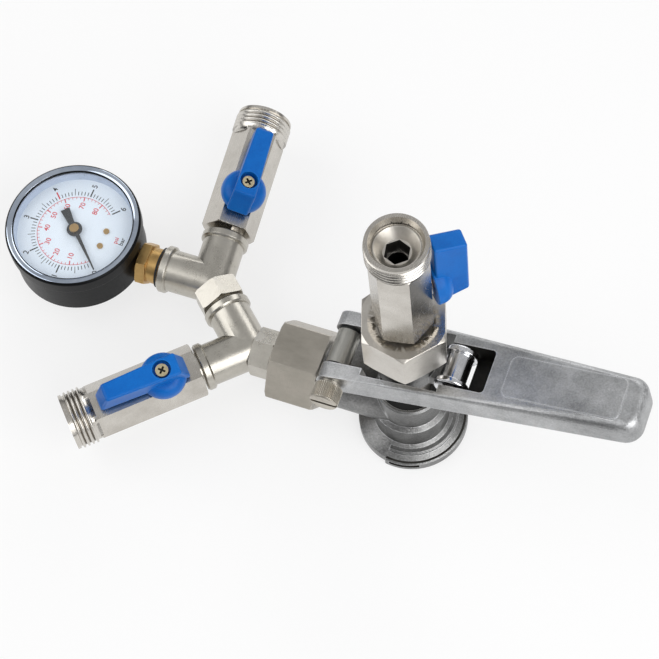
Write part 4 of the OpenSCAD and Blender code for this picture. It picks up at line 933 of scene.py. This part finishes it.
class COUPLER_OT_stage(bpy.types.Operator):
    """Floor, lamps, world and camera"""
    bl_idname = "coupler.stage"
    bl_label = "Stage"

    def floor(self):
        """A pale floor that shines a little for the camera and in reflections."""
        half_side, gap, seen_glow = 9.0, 0.4 * MM, 0.72
        bm = bmesh.new()
        bmesh.ops.create_grid(bm, x_segments=1, y_segments=1, size=half_side,
                              matrix=Matrix.Translation((0, 0, CAD_BOX[0][2] - gap)))
        floor = new_object(bm, "floor")
        mat = bpy.data.materials.new("pale_floor")
        mat.use_nodes = True
        tree = mat.node_tree
        tree.nodes.clear()
        out = node(tree, "ShaderNodeOutputMaterial", (600, 0))
        matte = node(tree, "ShaderNodeBsdfDiffuse", (0, 0), Color=(0.86, 0.86, 0.86, 1))
        glow = node(tree, "ShaderNodeEmission", (0, -160))
        rays = node(tree, "ShaderNodeLightPath", (-300, 200))
        either = node(tree, "ShaderNodeMath", (-60, 200), operation="MAXIMUM")
        share = node(tree, "ShaderNodeMath", (140, 200), operation="MULTIPLY")
        share.inputs[1].default_value = seen_glow
        mix = node(tree, "ShaderNodeMixShader", (360, 0))
        link(tree, (rays, "Is Camera Ray", either, 0), (rays, "Is Glossy Ray", either, 1),
             (either, 0, share, 0), (share, 0, mix, 0), (matte, 0, mix, 1), (glow, 0, mix, 2),
             (mix, 0, out, 0))
        floor.data.materials.append(mat)

    def flag(self, name, place, aim, width, height, shade):
        """A dark card that metals mirror, unseen by the camera."""
        bm = bmesh.new()
        turn = (Vector(aim) - Vector(place)).to_track_quat("Z", "Y").to_matrix().to_4x4()
        spot = Matrix.Translation(place) @ turn @ Matrix.Diagonal((width, height, 1, 1))
        bmesh.ops.create_grid(bm, x_segments=1, y_segments=1, size=0.5, matrix=spot)
        card = new_object(bm, name)
        mat = bpy.data.materials.new(name)
        mat.use_nodes = True
        skin = mat.node_tree.nodes["Principled BSDF"]
        skin.inputs["Base Color"].default_value = (shade, shade, shade, 1)
        skin.inputs["Roughness"].default_value = 0.9
        card.data.materials.append(mat)
        card.visible_camera = False

    def lamp(self, name, place, aim, size, power):
        """A soft rectangular lamp aimed at a point."""
        light = bpy.data.lights.new(name, "AREA")
        light.shape = "RECTANGLE"
        light.size, light.size_y = size
        light.energy = power
        obj = bpy.data.objects.new(name, light)
        obj.location = place
        obj.rotation_euler = (Vector(aim) - Vector(place)).to_track_quat("-Z", "Y").to_euler()
        bpy.context.scene.collection.objects.link(obj)

    def world(self):
        """A grey sky, darker below its middle."""
        world = bpy.data.worlds.new("studio")
        bpy.context.scene.world = world
        world.use_nodes = True
        tree = world.node_tree
        tree.nodes.clear()
        out = node(tree, "ShaderNodeOutputWorld", (600, 0))
        back = node(tree, "ShaderNodeBackground", (400, 0), Strength=0.66)
        coords = node(tree, "ShaderNodeTexCoord", (-600, 0))
        split = node(tree, "ShaderNodeSeparateXYZ", (-400, 0))
        ramp = node(tree, "ShaderNodeValToRGB", (-100, 0))
        height = node(tree, "ShaderNodeMapRange", (-250, 0), From_Min=-0.2)
        ramp.color_ramp.elements[0].color = (0.36, 0.36, 0.36, 1)
        ramp.color_ramp.elements[1].color = (0.80, 0.80, 0.80, 1)
        ramp.color_ramp.elements.new(0.35).color = (0.34, 0.34, 0.34, 1)
        ramp.color_ramp.elements.new(0.62).color = (0.74, 0.74, 0.745, 1)
        link(tree, (coords, "Generated", split, 0), (split, "Z", height, "Value"),
             (height, "Result", ramp, "Fac"), (ramp, "Color", back, "Color"), (back, 0, out, 0))

    def camera(self):
        """The photograph's viewpoint and angle, fitted to the outlines of the real object."""
        stand = Matrix.Translation((0.133876, -0.304443, 0.770912))
        azimuth, tilt, roll = (math.radians(angle) for angle in (28.3008, 25.9574, -9.3449))
        turn = Matrix.Rotation(azimuth, 4, "Z") @ Matrix.Rotation(tilt, 4, "X")
        data = bpy.data.cameras.new("camera")
        data.sensor_width = 36.0
        data.lens = 116.77
        data.clip_end = 20.0
        camera = bpy.data.objects.new("camera", data)
        camera.matrix_world = stand @ turn @ Matrix.Rotation(roll, 4, "Z")
        bpy.context.scene.collection.objects.link(camera)
        bpy.context.scene.camera = camera

    def execute(self, context):
        self.floor()
        self.world()
        middle = (-0.03, 0.0, 0.04)
        self.lamp("key_softbox", (-1.05, -0.30, 0.95), middle, (1.3, 1.3), 8.0)
        self.lamp("fill_softbox", (0.95, -0.45, 0.8), middle, (1.2, 1.2), 13.0)
        self.lamp("rear_softbox", (0.2, 1.2, 0.6), middle, (1.6, 0.6), 6.0)
        self.flag("dark_card_front", (0.15, -0.95, 0.30), middle, 0.5, 0.35, 0.03)
        self.flag("dark_card_back", (0.5, 0.95, 0.35), middle, 0.5, 0.4, 0.04)
        context.scene.view_settings.view_transform = "Standard"
        self.camera()
        return {"FINISHED"}


class COUPLER_PT_panel(bpy.types.Panel):
    """Sidebar list of the coupler's steps"""
    bl_idname = "COUPLER_PT_panel"
    bl_label = "Keg coupler"
    bl_space_type = "VIEW_3D"
    bl_region_type = "UI"
    bl_category = "Coupler"

    def draw(self, context):
        for group in SETTINGS:
            box = self.layout.box()
            settings = getattr(context.scene, group)
            for key in type(settings).__annotations__:
                box.prop(settings, key)
        for step in STEPS:
            self.layout.operator(step.bl_idname)


SETTINGS = {"coupler_finish": CouplerFinishSettings, "coupler_pin": CouplerPinSettings,
            "coupler_handle": CouplerHandleSettings, "coupler_dial": CouplerDialSettings}
STEPS = (COUPLER_OT_finishes, COUPLER_OT_casting, COUPLER_OT_lever, COUPLER_OT_pin, COUPLER_OT_roller,
         COUPLER_OT_nuts, COUPLER_OT_valves, COUPLER_OT_forks, COUPLER_OT_handles, COUPLER_OT_gauge,
         COUPLER_OT_dial_print, COUPLER_OT_stage)


def register():
    for cls in (*SETTINGS.values(), *STEPS, COUPLER_PT_panel):
        bpy.utils.register_class(cls)
    for name, cls in SETTINGS.items():
        setattr(bpy.types.Scene, name, bpy.props.PointerProperty(type=cls))


def unregister():
    for name in SETTINGS:
        delattr(bpy.types.Scene, name)
    for cls in reversed((*SETTINGS.values(), *STEPS, COUPLER_PT_panel)):
        bpy.utils.unregister_class(cls)


def main():
    register()
    bpy.ops.coupler.finishes()
    bpy.ops.coupler.casting()
    bpy.ops.coupler.lever()
    bpy.ops.coupler.pin()
    bpy.ops.coupler.roller()
    bpy.ops.coupler.nuts()
    bpy.ops.coupler.valves()
    bpy.ops.coupler.forks()
    bpy.ops.coupler.handles()
    bpy.ops.coupler.gauge()
    bpy.ops.coupler.dial_print()
    bpy.ops.coupler.stage()


if __name__ == "__main__":
    main()
